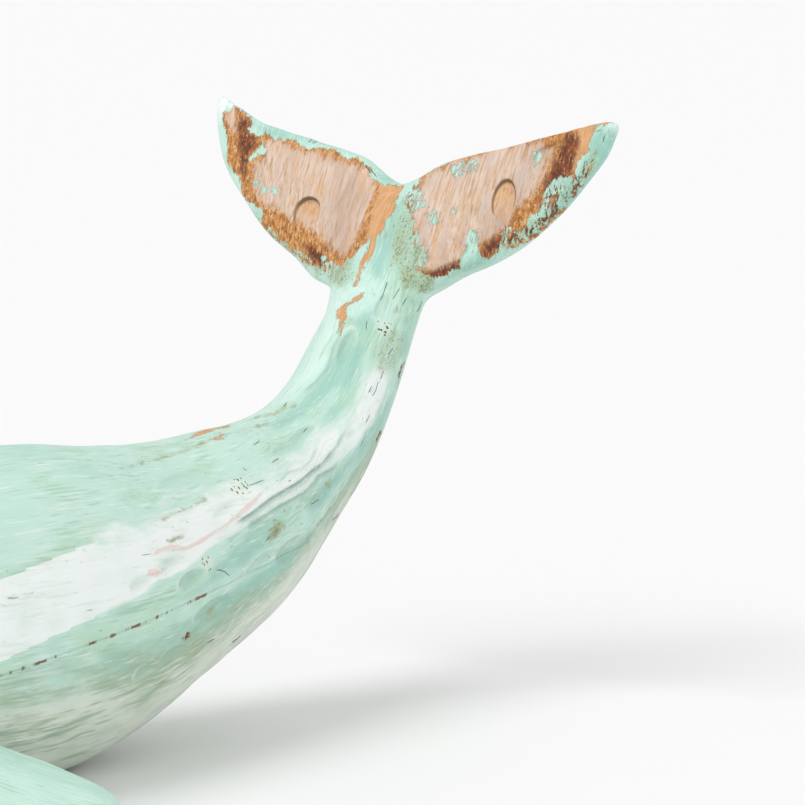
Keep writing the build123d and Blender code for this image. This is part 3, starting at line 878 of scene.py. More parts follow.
def seen_relief(pixel):
    """What the photograph shows carved, as height in millimetres, as painted shade from 0 to 1 and as a
    painted highlight on rims from 0 to 1.

    Ledges drop at once and climb back exponentially, with painted shade below them and a painted
    highlight along their upper edge. Thumb cuts have a steep wall and a floor that runs out at the
    lower end. Oval cuts are deeper on their upper left side; that side gets painted shade and their
    lower right a painted highlight."""
    height = np.zeros(len(pixel))
    shade = np.zeros(len(pixel))
    rim = np.zeros(len(pixel))
    for line, drop, climb in LEDGES:
        gap = line_gap(pixel, line)
        fade = end_fade(pixel, line)
        foot = smooth(gap, -0.9, 1.1) * fade
        below = np.exp(-np.maximum(gap, 0) / climb)
        height = height - drop * foot * below
        shade = np.maximum(shade, foot * below**2 * min(drop / 1.4, 1))
        rim = np.maximum(rim, (1 - foot) * np.exp(gap.clip(-30, 0) / 2.2) * fade * min(drop, 1))
    for *place, deep in THUMB_CUTS:
        along, _, reach = oval(pixel, *place)
        slope = np.clip(0.58 - 0.5 * along, 0, 1)
        height = height - deep * smooth(1 - reach, -0.02, 0.22) * slope
    for *place, deep in OVAL_CUTS:
        _, across, reach = oval(pixel, *place)
        dip = np.clip(1 - reach**2, 0, 1) ** 0.8
        upper = smooth(across, -0.7, 0.8)
        height = height - 1.3 * deep * dip * (0.6 + 0.8 * upper)
        shade = np.maximum(shade, 0.5 * dip * upper * min(deep, 1))
        rim = np.maximum(rim, 0.5 * dip * (1 - upper) * min(deep, 1))
    return height, shade, rim


def blend_views(seen, read):
    """The three readings of each view, weighted by how well it sees each point."""
    total = 0
    for pixel, weight in seen:
        active = weight > 0
        values = np.zeros((3, len(weight)))
        values[:, active] = read(pixel[active])
        total = total + values * weight
    return total


def body_relief(points, seen, place, length, angle):
    """Height added to trunk and stock: ridges, unevenness and gouge cuts. With it come the painted shade
    in its creases and cuts and the painted highlight on its rims, from 0 to 1. A ridge falls off
    exponentially on both sides."""
    sizes = bpy.context.scene.whale_sizes
    share = SPINE.share(place)
    side = degrees(1) * np.abs(angle)
    ridges = 0
    for from_back, ridge, width, rise, fall in (
        (side, SIDE_RIDGE, 17, (0.09, 0.15), (0.5, 0.68)),
        (degrees(1) * angle, BACK_RIDGE, 22, (0.03, 0.07), (0.24, 0.36)),
    ):
        crest = np.exp(-np.abs(from_back - np.interp(share, *ridge)) / width)
        ridges = ridges + crest * smooth(share, *rise) * (1 - smooth(share, *fall))
    height = sizes.ridge_height / MM * ridges
    height = height + sizes.hand_wander / MM * wander(points, wavelength=45, seed=11)
    cuts = gouge_pattern(length, angle, sizes.gouge_rows, sizes.gouge_length / MM)
    unseen = 1 - seen[0][1] - seen[1][1]
    amount = smooth(share, 0.12, 0.26) * (0.35 + 0.65 * np.maximum(smooth(side, 60, 95), unseen))
    height = height - sizes.gouge_depth / MM * cuts * amount
    carved, shade, rim = blend_views(seen, seen_relief)
    # The gouge cuts add painted shade
    return height + carved, np.maximum(shade, 0.3 * cuts * amount), rim


def node_box(name):
    """A node's lowest and highest corners in millimetres."""
    return [np.array(corner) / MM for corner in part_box(name)]


def head_relief(points, share, angle):
    """Height added on the head: lids round the eyes, the mouth line and the throat's pleats."""
    sizes = bpy.context.scene.whale_sizes
    height = np.zeros(len(points))
    for name in ("eye_left", "eye_right"):
        middle = sum(node_box(name)) / 2
        gap = np.hypot(points[:, 0] - middle[0], (points[:, 2] - middle[2]) * 1.25)
        same_side = points[:, 1] * middle[1] > 0
        lid = 1.5 * np.exp(-(((gap - 8.6) / 2.0) ** 2)) - 1.0 * np.exp(-(((gap - 13.5) / 2.6) ** 2))
        height = height + np.where(same_side, lid, 0)
    lip = mouth_height(points[:, 0])
    reach = (1 - smooth(points[:, 0] + OVERALL_LENGTH / 2, 88, 102)) * (share > 0.8)
    groove = np.exp(-(((points[:, 2] - lip) / 1.7) ** 2)) * reach
    rim = np.exp(-(((points[:, 2] - lip - 5.5) / 3.5) ** 2)) * reach
    height = height - sizes.mouth_depth / MM * groove + 0.7 * rim
    side = degrees(1) * np.abs(angle)
    pleat = np.abs(np.sin((side - 106) / 74 * pi * 5.5)) ** 0.5 - 1
    spread = smooth(side, 104, 112) * smooth(share, 0.60, 0.72) * (1 - smooth(share, 0.955, 0.985))
    return height + sizes.pleat_depth / MM * pleat * spread


def mouth_height(x):
    """Height of the mouth line at x: the arc through snout, dip and corner, as a parabola."""
    share = (x + OVERALL_LENGTH / 2) / MOUTH_LENGTH
    return TRUNK_HEIGHT - MOUTH_BELOW - MOUTH_DIP * share * (1 - share) + MOUTH_RISE * share**2


# Paint: for each point, how far inside or outside each kind of patch it lies, in pixels


def patch(pixel, outlines):
    """The greatest depth inside any of the outlines."""
    depth = np.full(len(pixel), NEVER)
    for outline in outlines:
        corners = np.array(outline, float)
        low, high = corners.min(0) + NEVER, corners.max(0) - NEVER
        near = ((pixel > low) & (pixel < high)).all(1)
        if near.any():
            depth[near] = np.maximum(depth[near], inside_depth(pixel[near], corners))
    return depth


def cut_marks(pixel, cuts, name):
    """Depth inside oval cuts in pixels, and how near their steep upper edge a point lies."""
    depth = np.full(len(pixel), NEVER)
    top = np.zeros(len(pixel))
    for *place, deep in cuts:
        along, across, reach = oval(pixel, *place)
        inside = (1 - reach) * (place[2] + place[3]) / 2
        if name == "thumb":
            left = 0.8 * smooth(across, 0.2, 0.7) * smooth(-along, -0.95, -0.55)
            steep = np.maximum(smooth(-along, -0.5, 0.3), left)
        else:
            steep = smooth(across, -0.8, 0.6) * min(deep, 1)
        top = np.where(inside > depth, steep, top)
        depth = np.maximum(depth, inside)
    return {name: depth, f"{name}_top": top}


def ledge_marks(pixel):
    """Signed distance to the nearest ledge, and how strongly the painted shade under it shows."""
    nearest = np.full(len(pixel), -NEVER)
    power = np.zeros(len(pixel))
    for line, drop, _ in LEDGES:
        gap = line_gap(pixel, line)
        closer = np.abs(gap) < np.abs(nearest)
        nearest = np.where(closer, gap, nearest)
        power = np.where(closer, end_fade(pixel, line) * min(drop / 1.5, 1), power)
    return {"ledge": nearest, "ledge_power": power}


def nearest_side(pixel, lines):
    """Signed distance to the nearest of the lines."""
    nearest = np.full(len(pixel), -NEVER)
    for line in lines:
        gap = line_gap(pixel, line)
        nearest = np.where(np.abs(gap) < np.abs(nearest), gap, nearest)
    return nearest


def between_lines(pixel, top, foot):
    """Depth inside a band, counted by half from its top line and threefold from its crisp foot."""
    return np.minimum(0.5 * line_gap(pixel, top), -3 * line_gap(pixel, foot)).clip(NEVER, -NEVER)


def read_marks(pixel):
    """Depths inside the patches of each finish at the photograph's pixels."""
    tint = np.zeros(len(pixel))
    for amount, outline in TINTS:
        tint = tint + amount * smooth(patch(pixel, [outline]), -7, 8)
    pins = np.full(len(pixel), NEVER)
    for x, y, radius in PIN_CLUSTERS:
        pins = np.maximum(pins, radius - np.hypot(*(pixel - (x, y)).T))
    bare = np.minimum(patch(pixel, [FAR_BARE, NEAR_BARE]), -patch(pixel, FAR_ISLANDS))
    dark = patch(pixel, [FAR_DARK, FAR_RED, NEAR_DARK, *NEAR_RED, NEAR_BAND])
    band = between_lines(pixel, CHALK_TOP, CHALK_FOOT)
    olive_band = OLIVE_WIDTH - np.abs(nearest_side(pixel, OLIVE_LINES))
    crack_side = nearest_side(pixel, CRACKS)
    return {
        "bare": np.maximum(bare, patch(pixel, [*BODY_BARE, *EDGE_CHIPS, NEAR_RIM])),
        "pale": patch(pixel, [FAR_PALE, FAR_TIP_RUB, NEAR_PALE]),
        "dark": np.maximum(dark, patch(pixel, EDGE_CHIPS) + 6),
        "fresh": patch(pixel, [FAR_FRESH, NEAR_FRESH, NEAR_RIM, *BODY_BARE]),
        "speckle": patch(pixel, NEAR_SPECKLE),
        "chalk": np.maximum(patch(pixel, STOCK_CHALK + TIP_CHALK), band),
        "pink": patch(pixel, PINK_STREAK),
        "painted_bounce": patch(pixel, PAINTED_BOUNCE_EDGE),
        "olive": np.maximum(patch(pixel, OLIVE_SPOTS), olive_band),
        "stipple": patch(pixel, STIPPLE),
        "pins": pins.clip(NEVER),
        "crack": -np.abs(crack_side),
        "crack_side": crack_side,
        "glued": smooth(pixel[:, 0], *GLUE_FADE),
        "tint": tint,
        "mottled": patch(pixel, MOTTLED),
        **cut_marks(pixel, THUMB_CUTS, "thumb"),
        **cut_marks(pixel, OVAL_CUTS, "dent"),
        **ledge_marks(pixel),
    }


# What the marks read where no view sees a point, other than NEVER
AWAY = {"tint": 0, "glued": 1, "thumb_top": 0, "dent_top": 0, "ledge_power": 0}


def paint_marks(seen):
    """Each finish's depth as the views give it. Where no view sees a point it counts as outside."""
    marks = {}
    for pixel, weight in seen:
        active = weight > 0
        for name, values in read_marks(pixel[active]).items():
            away = AWAY.get(name, NEVER)
            total = marks.setdefault(name, np.full(len(weight), float(away)))
            total[active] += weight[active] * (values - away)
    marks["unseen"] = 1 - seen[0][1] - seen[1][1]
    return marks


# Meshes


def make_mesh(name, vertices, faces, marks=None, grain=None):
    """A mesh object from millimetre vertices, with one float attribute for each kind of mark and
    the grain's own coordinates."""
    mesh = bpy.data.meshes.new(name)
    mesh.from_pydata((vertices * MM).tolist(), [], faces.tolist())
    for key, values in (marks or {}).items():
        layer = mesh.attributes.new(key, "FLOAT", "POINT")
        layer.data.foreach_set("value", values.astype(np.float32))
    if grain is not None:
        layer = mesh.attributes.new("grain", "FLOAT_VECTOR", "POINT")
        layer.data.foreach_set("vector", (grain * MM).astype(np.float32).ravel())
    mesh.polygons.foreach_set("use_smooth", np.ones(len(mesh.polygons), bool))
    piece = bpy.data.objects.new(name, mesh)
    bpy.context.scene.collection.objects.link(piece)
    return piece


@contextmanager
def reworked(piece):
    """Opens a piece's mesh for bmesh's tools, and writes it back."""
    work = bmesh.new()
    work.from_mesh(piece.data)
    yield work
    work.to_mesh(piece.data)
    work.free()


def crease(edges):
    """Keeps edges sharp in the smooth shading."""
    for edge in edges:
        edge.smooth = False


def cut_away(piece, planes):
    """Keeps the side of each plane that its normal points away from, and closes the cut. A plane
    cuts only what lies above its height."""
    with reworked(piece) as work:
        for middle, normal, lowest in planes:
            faces = [face for face in work.faces if min(vertex.co.z for vertex in face.verts) > lowest * MM]
            edges = {edge for face in faces for edge in face.edges}
            corners = {vertex for edge in edges for vertex in edge.verts}
            cut = bmesh.ops.bisect_plane(
                work, geom=[*corners, *edges, *faces], plane_co=middle * MM, plane_no=normal, dist=1e-7,
                clear_outer=True)
            rim = [item for item in cut["geom_cut"] if isinstance(item, bmesh.types.BMEdge)]
            cap = bmesh.ops.triangle_fill(
                work, use_beauty=True, use_dissolve=False, edges=rim, normal=normal)
            for face in cap["geom"]:
                if isinstance(face, bmesh.types.BMFace):
                    face.smooth = False
            crease(rim)


def tidy_shell(piece, reach=0.02):
    """Merges doubled vertices, drops empty faces and points the faces outwards."""
    with reworked(piece) as work:
        bmesh.ops.remove_doubles(work, verts=work.verts, dist=reach * MM)
        bmesh.ops.dissolve_degenerate(work, edges=work.edges, dist=reach * MM)
        bmesh.ops.recalc_face_normals(work, faces=work.faces)


def circle(count):
    """That many even turns round a circle, in radians."""
    return np.linspace(0, 2 * pi, count + 1)[:-1]


def ring_quads(rows, columns):
    """Quads between the rings of a tube, where each ring is joined up round its turn."""
    index = np.arange(rows * columns).reshape(rows, columns)
    ring = np.roll(index, -1, axis=1)
    return np.stack([index[:-1], ring[:-1], ring[1:], index[1:]], -1).reshape(-1, 4)


def make_tube(name, rings, marks, grain):
    """A closed tube through rings of points, with one flat face at each end."""
    rows, columns = rings.shape[:2]
    piece = make_mesh(name, rings.reshape(-1, 3), ring_quads(rows, columns), marks, grain)
    with reworked(piece) as work:
        work.verts.ensure_lookup_table()
        for start in (0, (rows - 1) * columns):
            face = work.faces.new(work.verts[start : start + columns])
            face.smooth = False
            crease(face.edges)
    tidy_shell(piece)
    return piece


def dress(piece, material, slot, *nodes):
    """Gives a piece its material and its body, and hides the solids that it stands for. The slot is not used.
    """
    piece.data.materials.append(material)
    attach(piece, "root")
    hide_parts(*nodes)


# Shader wiring


class Wire:
    """A node's output that adds, subtracts, multiplies and divides like a number."""

    def __init__(self, bench, socket):
        self.bench = bench
        self.socket = socket

    def __add__(self, other):
        return self.bench.maths("ADD", self, other)

    def __radd__(self, other):
        return self.bench.maths("ADD", other, self)

    def __sub__(self, other):
        return self.bench.maths("SUBTRACT", self, other)

    def __rsub__(self, other):
        return self.bench.maths("SUBTRACT", other, self)

    def __mul__(self, other):
        return self.bench.maths("MULTIPLY", self, other)

    def __truediv__(self, other):
        return self.bench.maths("DIVIDE", self, other)


class Bench:
    """One material's node tree, with a Principled shader at its end."""

    def __init__(self, name):
        self.material = bpy.data.materials.new(name)
        self.material.use_nodes = True
        self.tree = self.material.node_tree
        self.tree.nodes.clear()
        self.shader = self.tree.nodes.new("ShaderNodeBsdfPrincipled")
        output = self.tree.nodes.new("ShaderNodeOutputMaterial")
        self.tree.links.new(self.shader.outputs[0], output.inputs[0])

    def plug(self, socket, value):
        """Links a wire to a socket, or sets a plain value on it."""
        if isinstance(value, Wire):
            self.tree.links.new(value.socket, socket)
        elif socket.type == "RGBA":
            socket.default_value = (*value, 1.0)
        else:
            socket.default_value = value

    def node(self, kind, sockets, output=0, **settings):
        """Adds a node: its settings first, then values or links by socket."""
        node = self.tree.nodes.new(kind)
        for name, value in settings.items():
            setattr(node, name, value)
        for name, value in sockets.items():
            self.plug(node.inputs[name], value)
        return Wire(self, node.outputs[output])

    def maths(self, operation, a, b=0.0):
        """One Math node on two numbers."""
        return self.node("ShaderNodeMath", {0: a, 1: b}, operation=operation)

    def unsigned(self, value):
        """The value without its sign."""
        return self.maths("ABSOLUTE", value)

    def larger(self, first, second):
        """The larger of two numbers."""
        return self.maths("MAXIMUM", first, second)

    def mark(self, name):
        """A float that the mesh carries at each vertex."""
        return self.node("ShaderNodeAttribute", {}, output="Fac", attribute_name=name)

    def place(self):
        """The point's own place on the piece, in metres."""
        return self.node("ShaderNodeTexCoord", {}, output="Object")

    def stretch(self, vector, scale):
        """A vector times a scale for each of its parts."""
        return self.node("ShaderNodeVectorMath", {0: vector, 1: scale}, operation="MULTIPLY")

    def noise(self, vector, size, detail=3.0, rough=0.55, warp=0.0):
        """Noise centred on zero, whose features are about that many millimetres long."""
        sockets = {"Vector": vector, "Scale": 1 / (size * MM), "Detail": detail, "Roughness": rough,
                   "Distortion": warp}
        return self.node("ShaderNodeTexNoise", sockets, noise_dimensions="3D") - 0.5

    @cached_property
    def grain(self):
        """The coordinates along and across the grain that the mesh carries."""
        return self.node("ShaderNodeAttribute", {}, output="Vector", attribute_name="grain")

    def streak(self, size, squash, detail, rough):
        """Noise drawn out along the grain by one over squash."""
        return self.noise(self.stretch(self.grain, (squash, 1.0, 1.0)), size, detail, rough)

    def step(self, value, low, high):
        """Zero below low, one above high, smooth between."""
        sockets = {"Value": value, "From Min": low, "From Max": high}
        return self.node("ShaderNodeMapRange", sockets, interpolation_type="SMOOTHSTEP")

    def mix(self, factor, first, second):
        """The first colour at factor 0, the second at 1."""
        sockets = {0: factor, 6: first, 7: second}
        return self.node("ShaderNodeMix", sockets, output=2, data_type="RGBA")

    def blend(self, value, low, high, first, second):
        """The first colour where the value is low, the second where it is high."""
        return self.mix(self.step(value, low, high), first, second)

    def layers(self, colour, *coats):
        """Lays coats over a colour, each where its value is high and as densely as it says."""
        for coat, value, low, high, density in coats:
            colour = self.mix(self.step(value, low, high) * density, colour, coat)
        return colour

    def bump(self, height, distance, strength):
        """A normal bent by a height, whose 1 stands for that many millimetres."""
        sockets = {"Height": height, "Distance": distance * MM, "Strength": strength}
        return self.node("ShaderNodeBump", sockets)

    def finish(self, **sockets):
        """Sets the shader's own sockets, named with underscores for spaces."""
        for name, value in sockets.items():
            self.plug(self.shader.inputs[name.replace("_", " ")], value)
        return self.material


def weathered_wood(bench, fibre, fray):
    """Bare wood: bleached and washed with grey in the middle of a patch, golden and speckled
    beside the paint, stained dark near the tips, and fresh where the paint has just gone. Painted shade
    darkens the thumb cuts' steep upper walls and the relief's creases."""
    colours = bpy.context.scene.whale_colours
    cloud = bench.streak(16, 0.2, 5, 0.6)
    fleck = bench.streak(2.6, 0.6, 5, 0.8)
    blotch = bench.streak(7, 0.6, 6, 0.75)
    thread = bench.streak(1.7, 0.05, 3, 0.7)
    grit = bench.streak(1.5, 0.4, 2, 0.7)
    dusk = bench.streak(24, 0.3, 4, 0.6)
    golden = bench.layers(
        bench.blend(blotch + fleck * 0.7, -0.12, 0.1, GOLD_DEEP, colours.wood_warm),
        (GOLD_LIGHT, fleck + thread * 0.4, 0.03, 0.15, 0.85),
        (RUST, blotch * 0.4 - fleck - thread * 0.4, 0.05, 0.15, 0.8),
        (GOLD_PALE, grit, 0.06, 0.16, 0.7),
        (RUST, grit * -1, 0.08, 0.18, 0.6),
    )
    wash = bench.layers(
        bench.blend(fibre + thread * 0.6, -0.2, 0.2, TAN, colours.wood_pale),
        (HONEY, blotch + cloud * 0.8, 0.04, 0.26, 0.6),
        (GREY_WASH, fibre * 0.5 - cloud + thread * 0.4, -0.02, 0.2, 0.6),
        (UMBER, fibre * -0.5 - thread, 0.1, 0.24, 0.4),
        (DUSK, dusk + fibre * 0.4, 0.03, 0.22, 0.55),
        (HONEY, thread * -0.5 - dusk, 0.04, 0.2, 0.3),
        (colours.wood_pale, fleck * 0.4 - blotch, 0.1, 0.2, 0.5),
    )
    pale = bench.step(bench.mark("pale") + fray * 1.4 + cloud * 26 + blotch * 24, -5.0, 4.0)
    wood = bench.mix(pale, golden, wash)
    fresh = bench.step(bench.mark("fresh") + fray, -3.0, 3.0)
    peeled = bench.blend(fibre + thread * 0.7, -0.2, 0.25, PEELED, colours.wood_fresh)
    wood = bench.mix(fresh * (1 - pale * 0.7), wood, peeled)
    dark = bench.step(bench.mark("dark") + fray + cloud * 14 + blotch * 16, -3.0, 5.0)
    stained = bench.layers(
        bench.blend(blotch * 0.8 + fleck, -0.06, 0.16, colours.wood_dark, RUST_LIGHT),
        (colours.wood_warm, fleck + thread * 0.6, 0.12, 0.2, 0.6),
        (BARK, fleck * -1 - thread * 0.5, 0.06, 0.16, 0.7),
        (GOLD_LIGHT, grit, 0.1, 0.18, 0.6),
        (SOOT, grit * -1, 0.02, 0.14, 0.8),
    )
    wood = bench.mix(dark * 0.95, wood, stained)
    thumb, top = bench.mark("thumb"), bench.mark("thumb_top")
    floor = bench.blend(fleck + thread * 0.5, -0.24, 0.02, RUST_LIGHT, HONEY)
    wood = bench.mix(bench.step(thumb, 0.0, 2.0) * (top * 0.4 + 0.35), wood, floor)
    # Painted shade: the steep upper wall of each thumb cut and the relief's shade turn dark brown
    wall = (1 - bench.step(bench.unsigned(thumb - 1.2), 0.5, 1.9)) * top
    return bench.mix(bench.larger(wall, bench.mark("shade") * 0.75) * 0.85, wood, BARK), thread


def chalky_paint(bench, fibre, fray):
    """Paint: deeper and paler where the tints say, partly as painted light and shade, brushed along the
    grain, white on rubbed ridges, with painted highlights on rims and the edges of the cuts, a darker
    green as painted shade in creases and cuts, olive in hollows and greyer under the belly."""
    colours = bpy.context.scene.whale_colours
    drift = bench.streak(50, 0.16, 4, 0.55)
    brushed = bench.streak(5, 0.09, 4, 0.6)
    bristle = bench.streak(1.0, 0.03, 2, 0.6)
    mottle = bench.streak(14, 0.3, 3, 0.6)
    murk = bench.streak(26, 0.3, 5, 0.65)
    smudge = bench.streak(2.6, 0.35, 4, 0.75)
    specks = bench.streak(1.3, 0.7, 3, 0.8)
    low, shade = bench.mark("low"), bench.mark("shade")

    # Body of the paint, greyer low down; its tints are partly painted light and shade
    tint = bench.mark("tint") + drift * 2.4 + brushed * 0.7 + mottle * 0.8
    worn = brushed + bristle * 0.5
    clay = bench.blend(worn + mottle * 0.5 - low * 0.4 + 0.2, -0.14, 0.14, CLAY_LIGHT, CLAY)
    murk = bench.step(murk + brushed * 0.5, -0.08, 0.14) * bench.step(low, 0.0, 0.2)
    painted_bounce = bench.mark("painted_bounce") + brushed * 12 + mottle * 16
    paint = bench.layers(
        bench.blend(tint, -1.2, 0.15, colours.paint_deep, colours.paint),
        (colours.paint_pale, tint, 0.0, 1.3, 1.0),
        (SAGE, mottle + drift * 0.6, 0.0, 0.2, 0.6),
        (clay, low + brushed * 0.6, 0.02, 0.45, 0.9),
    )
    paint = bench.mix(murk * (1 - low * 0.7) * 0.75, paint, MURK)
    # Painted bounce light: a paler band along the body's lower right edge
    paint = bench.layers(paint, (CLAY_LIGHT, painted_bounce, -9.0, 5.0, 0.85))
    # Painted shade: a darker green where the relief gives shade, and inside each oval cut, strongest on its
    # upper side
    shade_green = bench.blend(worn, -0.2, 0.2, MOSS, MOSS_LIGHT)
    paint = bench.mix(shade * 0.9, paint, shade_green)
    dent, top = bench.mark("dent"), bench.mark("dent_top")
    paint = bench.mix(bench.step(dent + brushed * 5, 0.0, 3.5) * (top * 0.5 + 0.08), paint, shade_green)

    # White: the chalky band where the paint is rubbed, and painted highlights on the rims above the
    # ledges, on the lower right inside the oval cuts and just outside the cuts' upper edges
    chalk = bench.mark("chalk") + brushed * 24 + mottle * 34 + bristle * 10 + fray * 0.5
    chalk = bench.step(chalk, -6.0, 7.0)
    # Painted highlight: the relief's rims, broken by brush noise
    rubbed = bench.step(bench.mark("rim") + worn + mottle * 0.6, 0.4, 1.0)
    # Painted highlight: a pale line just outside each oval cut's steep upper edge
    lip = (1 - bench.step(bench.unsigned(dent + 1 + brushed * 5), 0.2, 2.6)) * top
    lip = lip * bench.step(mottle + bristle, -0.12, 0.3) * 0.6
    white = bench.larger(bench.larger(chalk * (1 - shade), rubbed), lip)
    paint = bench.mix(white * 0.93, paint, colours.chalk)

    # Brush marks, painted shade in the creases under the ledges, and the pink undercoat
    ledge = bench.mark("ledge") + brushed * 2.5
    under = bench.step(ledge, -0.6, 0.5) * (1 - bench.step(ledge, 0.8, 4.5)) * bench.mark("ledge_power")
    paint = bench.mix(under * 0.5, paint, CREASE)
    furrow = bench.step(bristle + brushed * 0.4 + mottle * 0.3, 0.05, 0.2)
    paint = bench.mix(furrow * (0.34 + low * 0.2 - white * 0.2), paint, MOSS)
    paint = bench.layers(paint, (colours.chalk, brushed * 0.3 - bristle, 0.06, 0.22, 0.4))
    pink = bench.step(bench.mark("pink") + fray * 0.3, -0.6, 1.0)
    paint = bench.mix(pink * (0.62 + fibre * 0.8), paint, colours.pink)

    # Olive dirt, specks and grime
    dirt = bench.layers(colours.olive, (UMBER, smudge + bristle, 0.06, 0.22, 0.7))
    olive = bench.mark("olive") + smudge * 15 + mottle * 6
    zone = bench.step(bench.mark("stipple") + mottle * 20, -6.0, 5.0)
    grime = bench.step(smudge, 0.1, 0.22) * bench.step(mottle + drift * 0.5, 0.03, 0.16)
    paint = bench.layers(
        bench.mix(zone * 0.4, bench.layers(paint, (dirt, olive, -1.5, 4.0, 0.75)), SAGE),
        (colours.olive, specks + mottle * 0.4, -0.02, 0.08, zone * 0.55),
        (LICHEN, specks * -1 + mottle * 0.3, 0.03, 0.11, zone * 0.85),
    )
    return bench.mix(grime * 0.55, paint, colours.olive), white, brushed, bristle


@cache
def painted_wood():
    """Chalky green paint over carved wood, worn through in ragged patches. The patches' depths
    come with the mesh; noise along the grain frays their edges."""
    bench = Bench("painted_wood")
    fibre = bench.streak(1.4, 0.07, 5, 0.62)
    fray = bench.streak(5.0, 0.3, 5, 0.7) * 14 + bench.streak(2.2, 0.6, 3, 0.7) * 9
    chips = bench.streak(30, 0.3, 8, 0.66) * 62 - 15.5
    bare_depth = bench.larger(bench.mark("bare") + fray, chips - (1 - bench.mark("unseen")) * 40)
    flaked = (1 - bench.step(bench.mark("mottled") + fray * 0.6, -4, 3)) * -20
    flaked = flaked + bench.streak(3.2, 0.4, 4, 0.75) * 46 - 0.5
    bare_depth = bench.larger(bare_depth, flaked)
    bare = bench.step(bare_depth, -0.3, 0.3)
    thin = bench.step(bench.mark("speckle") + fray * 0.6, -4.0, 3.0)
    speck = bench.streak(2.0, 0.4, 6, 0.78) + bench.streak(11, 1.0, 2, 0.5) * 0.3
    edge = 1 - bench.step(bare_depth, 1.0, 9.0)
    bare = bare * (1 - bench.step(speck + thin * 0.24 + edge * 0.04, 0.2, 0.225))

    wood, thread = weathered_wood(bench, fibre, fray)
    paint, white, brushed, bristle = chalky_paint(bench, fibre, fray)
    hairline = bench.step(bench.streak(1.1, 0.05, 2, 0.5), 0.215, 0.25)
    hairline = hairline * bench.step(bench.streak(26, 1.0, 2, 0.5), 0.0, 0.1)
    side = bench.unsigned(bench.mark("crack_side") + bench.streak(2.5, 0.6, 3, 0.6) * 1.5)
    crack = bench.step(bench.mark("crack"), -2.0, -1.0) * (1 - bench.step(side, 0.12, 0.5))
    paint = bench.mix(hairline * 0.6, paint, UMBER)
    rind = bench.step(bare_depth, -2.2, -0.2) * (1 - bare) * bench.step(brushed + fibre, -0.1, 0.15)
    paint = bench.mix(rind * 0.5, paint, MOSS)

    # Worm holes, a few millimetres apart in each cluster
    cell = bench.node("ShaderNodeTexVoronoi", {"Vector": bench.grain, "Scale": 1 / (2.3 * MM)})
    cluster = bench.step(bench.mark("pins") + fray * 0.3, -0.5, 1.5)
    hole = (1 - bench.step(cell + brushed * 0.3, 0.24, 0.36)) * cluster
    paint = bench.mix(cluster * 0.3, paint, CREAM)

    # The glue line between the planks, open in dashes
    place = bench.place()
    upright = (-sin(GLUE_TILT), 0.0, cos(GLUE_TILT))
    height = bench.node(
        "ShaderNodeVectorMath", {0: place, 1: upright}, output="Value", operation="DOT_PRODUCT")
    from_line = bench.unsigned(height - GLUE_HEIGHT * cos(GLUE_TILT) * MM) / MM
    dashes = bench.step(bench.noise(bench.stretch(place, (1.0, 0.0, 0.0)), 16, 3, 0.6), -0.01, 0.05)
    wavy = bench.noise(bench.stretch(place, (1.0, 0.0, 0.4)), 3, 2) * 1.6
    line = dashes * (1 - bench.step(from_line + wavy, 0.45, 0.95)) * bench.mark("glued")

    colour = bench.mix(bare, paint, wood)
    colour = bench.mix(line * 0.9, colour, bench.blend(fibre, -0.1, 0.15, UMBER, RUST_LIGHT))
    colour = bench.mix(hole * 0.9, colour, HOLE)
    colour = bench.mix(crack * 0.8, colour, HOLE)
    coat = (1 - bare) * 0.5 + (fibre + thread) * bare * 0.6 - brushed * 0.3 - bristle * 0.4
    coat = coat - hole * 1.5 - line - hairline * 0.6 - crack
    rough = 0.5 + bare * 0.22 + fibre * 0.2 - white * 0.08
    return bench.finish(
        Base_Color=colour, Roughness=rough, Normal=bench.bump(coat, 0.6, 0.9), Specular_IOR_Level=0.5)


@cache
def bare_wood():
    """Turned dowel: pale wood with fibres drawn out along X and Z."""
    bench = Bench("bare_wood")
    fibre = bench.noise(bench.stretch(bench.place(), (0.15, 1.0, 0.15)), 1.2, 4)
    colour = bench.blend(fibre, -0.2, 0.25, DOWEL, DOWEL_LIGHT)
    return bench.finish(Base_Color=colour, Roughness=0.6 + fibre * 0.2, Normal=bench.bump(fibre, 0.2, 0.5))


@cache
def eye_bead():
    """Black glass with a faint brown heart."""
    bench = Bench("eye_bead")
    haze = bench.noise(bench.place(), 3, 2)
    colour = bench.layers(bpy.context.scene.whale_colours.bead, (BEAD_HEART, haze, -0.1, 0.25, 0.6))
    return bench.finish(Base_Color=colour, Roughness=0.08 + haze * 0.06, Coat_Weight=0.6)


@cache
def felt():
    """Pressed wool: short fibres every way, rough and matt."""
    bench = Bench("felt")
    place = bench.place()
    fluff = bench.noise(place, 0.5, 4, 0.7, 1.5)
    tone = bench.noise(place, 6, 3)
    colour = bench.blend(fluff + tone * 0.5, -0.2, 0.25, bpy.context.scene.whale_colours.felt, FELT_LIGHT)
    return bench.finish(Base_Color=colour, Roughness=0.95, Normal=bench.bump(fluff, 0.4, 0.9))


def floor_finish():
    """Plain near-white floor: seen by the camera and in reflections as lit paper, a little brighter."""
    bench = Bench("floor")
    seen = 0.0
    for ray in ("Is Camera Ray", "Is Glossy Ray", "Is Transmission Ray"):
        seen = bench.larger(bench.node("ShaderNodeLightPath", {}, output=ray), seen)
    colour = bench.mix(seen, FLOOR_GREY, FLOOR_SEEN)
    return bench.finish(Base_Color=colour, Roughness=0.9, Specular_IOR_Level=0.1)


# Pieces


def spread(start, stop, pitch, low, high, factor):
    """Places from start to stop about one pitch apart, and closer by a factor from low to high."""
    fine = np.linspace(start, stop, 4000)
    reach = (stop - start) * 0.04
    within = smooth(fine, low - reach, low + reach) * (1 - smooth(fine, high - reach, high + reach))
    density = 1 + (factor - 1) * within
    total = running((density[1:] + density[:-1]) / 2)
    count = int(round(total[-1] * (fine[1] - fine[0]) / pitch)) + 1
    return np.interp(np.linspace(0, total[-1], count), total, fine)


def grid_pitch(size):
    return size / MM * 1


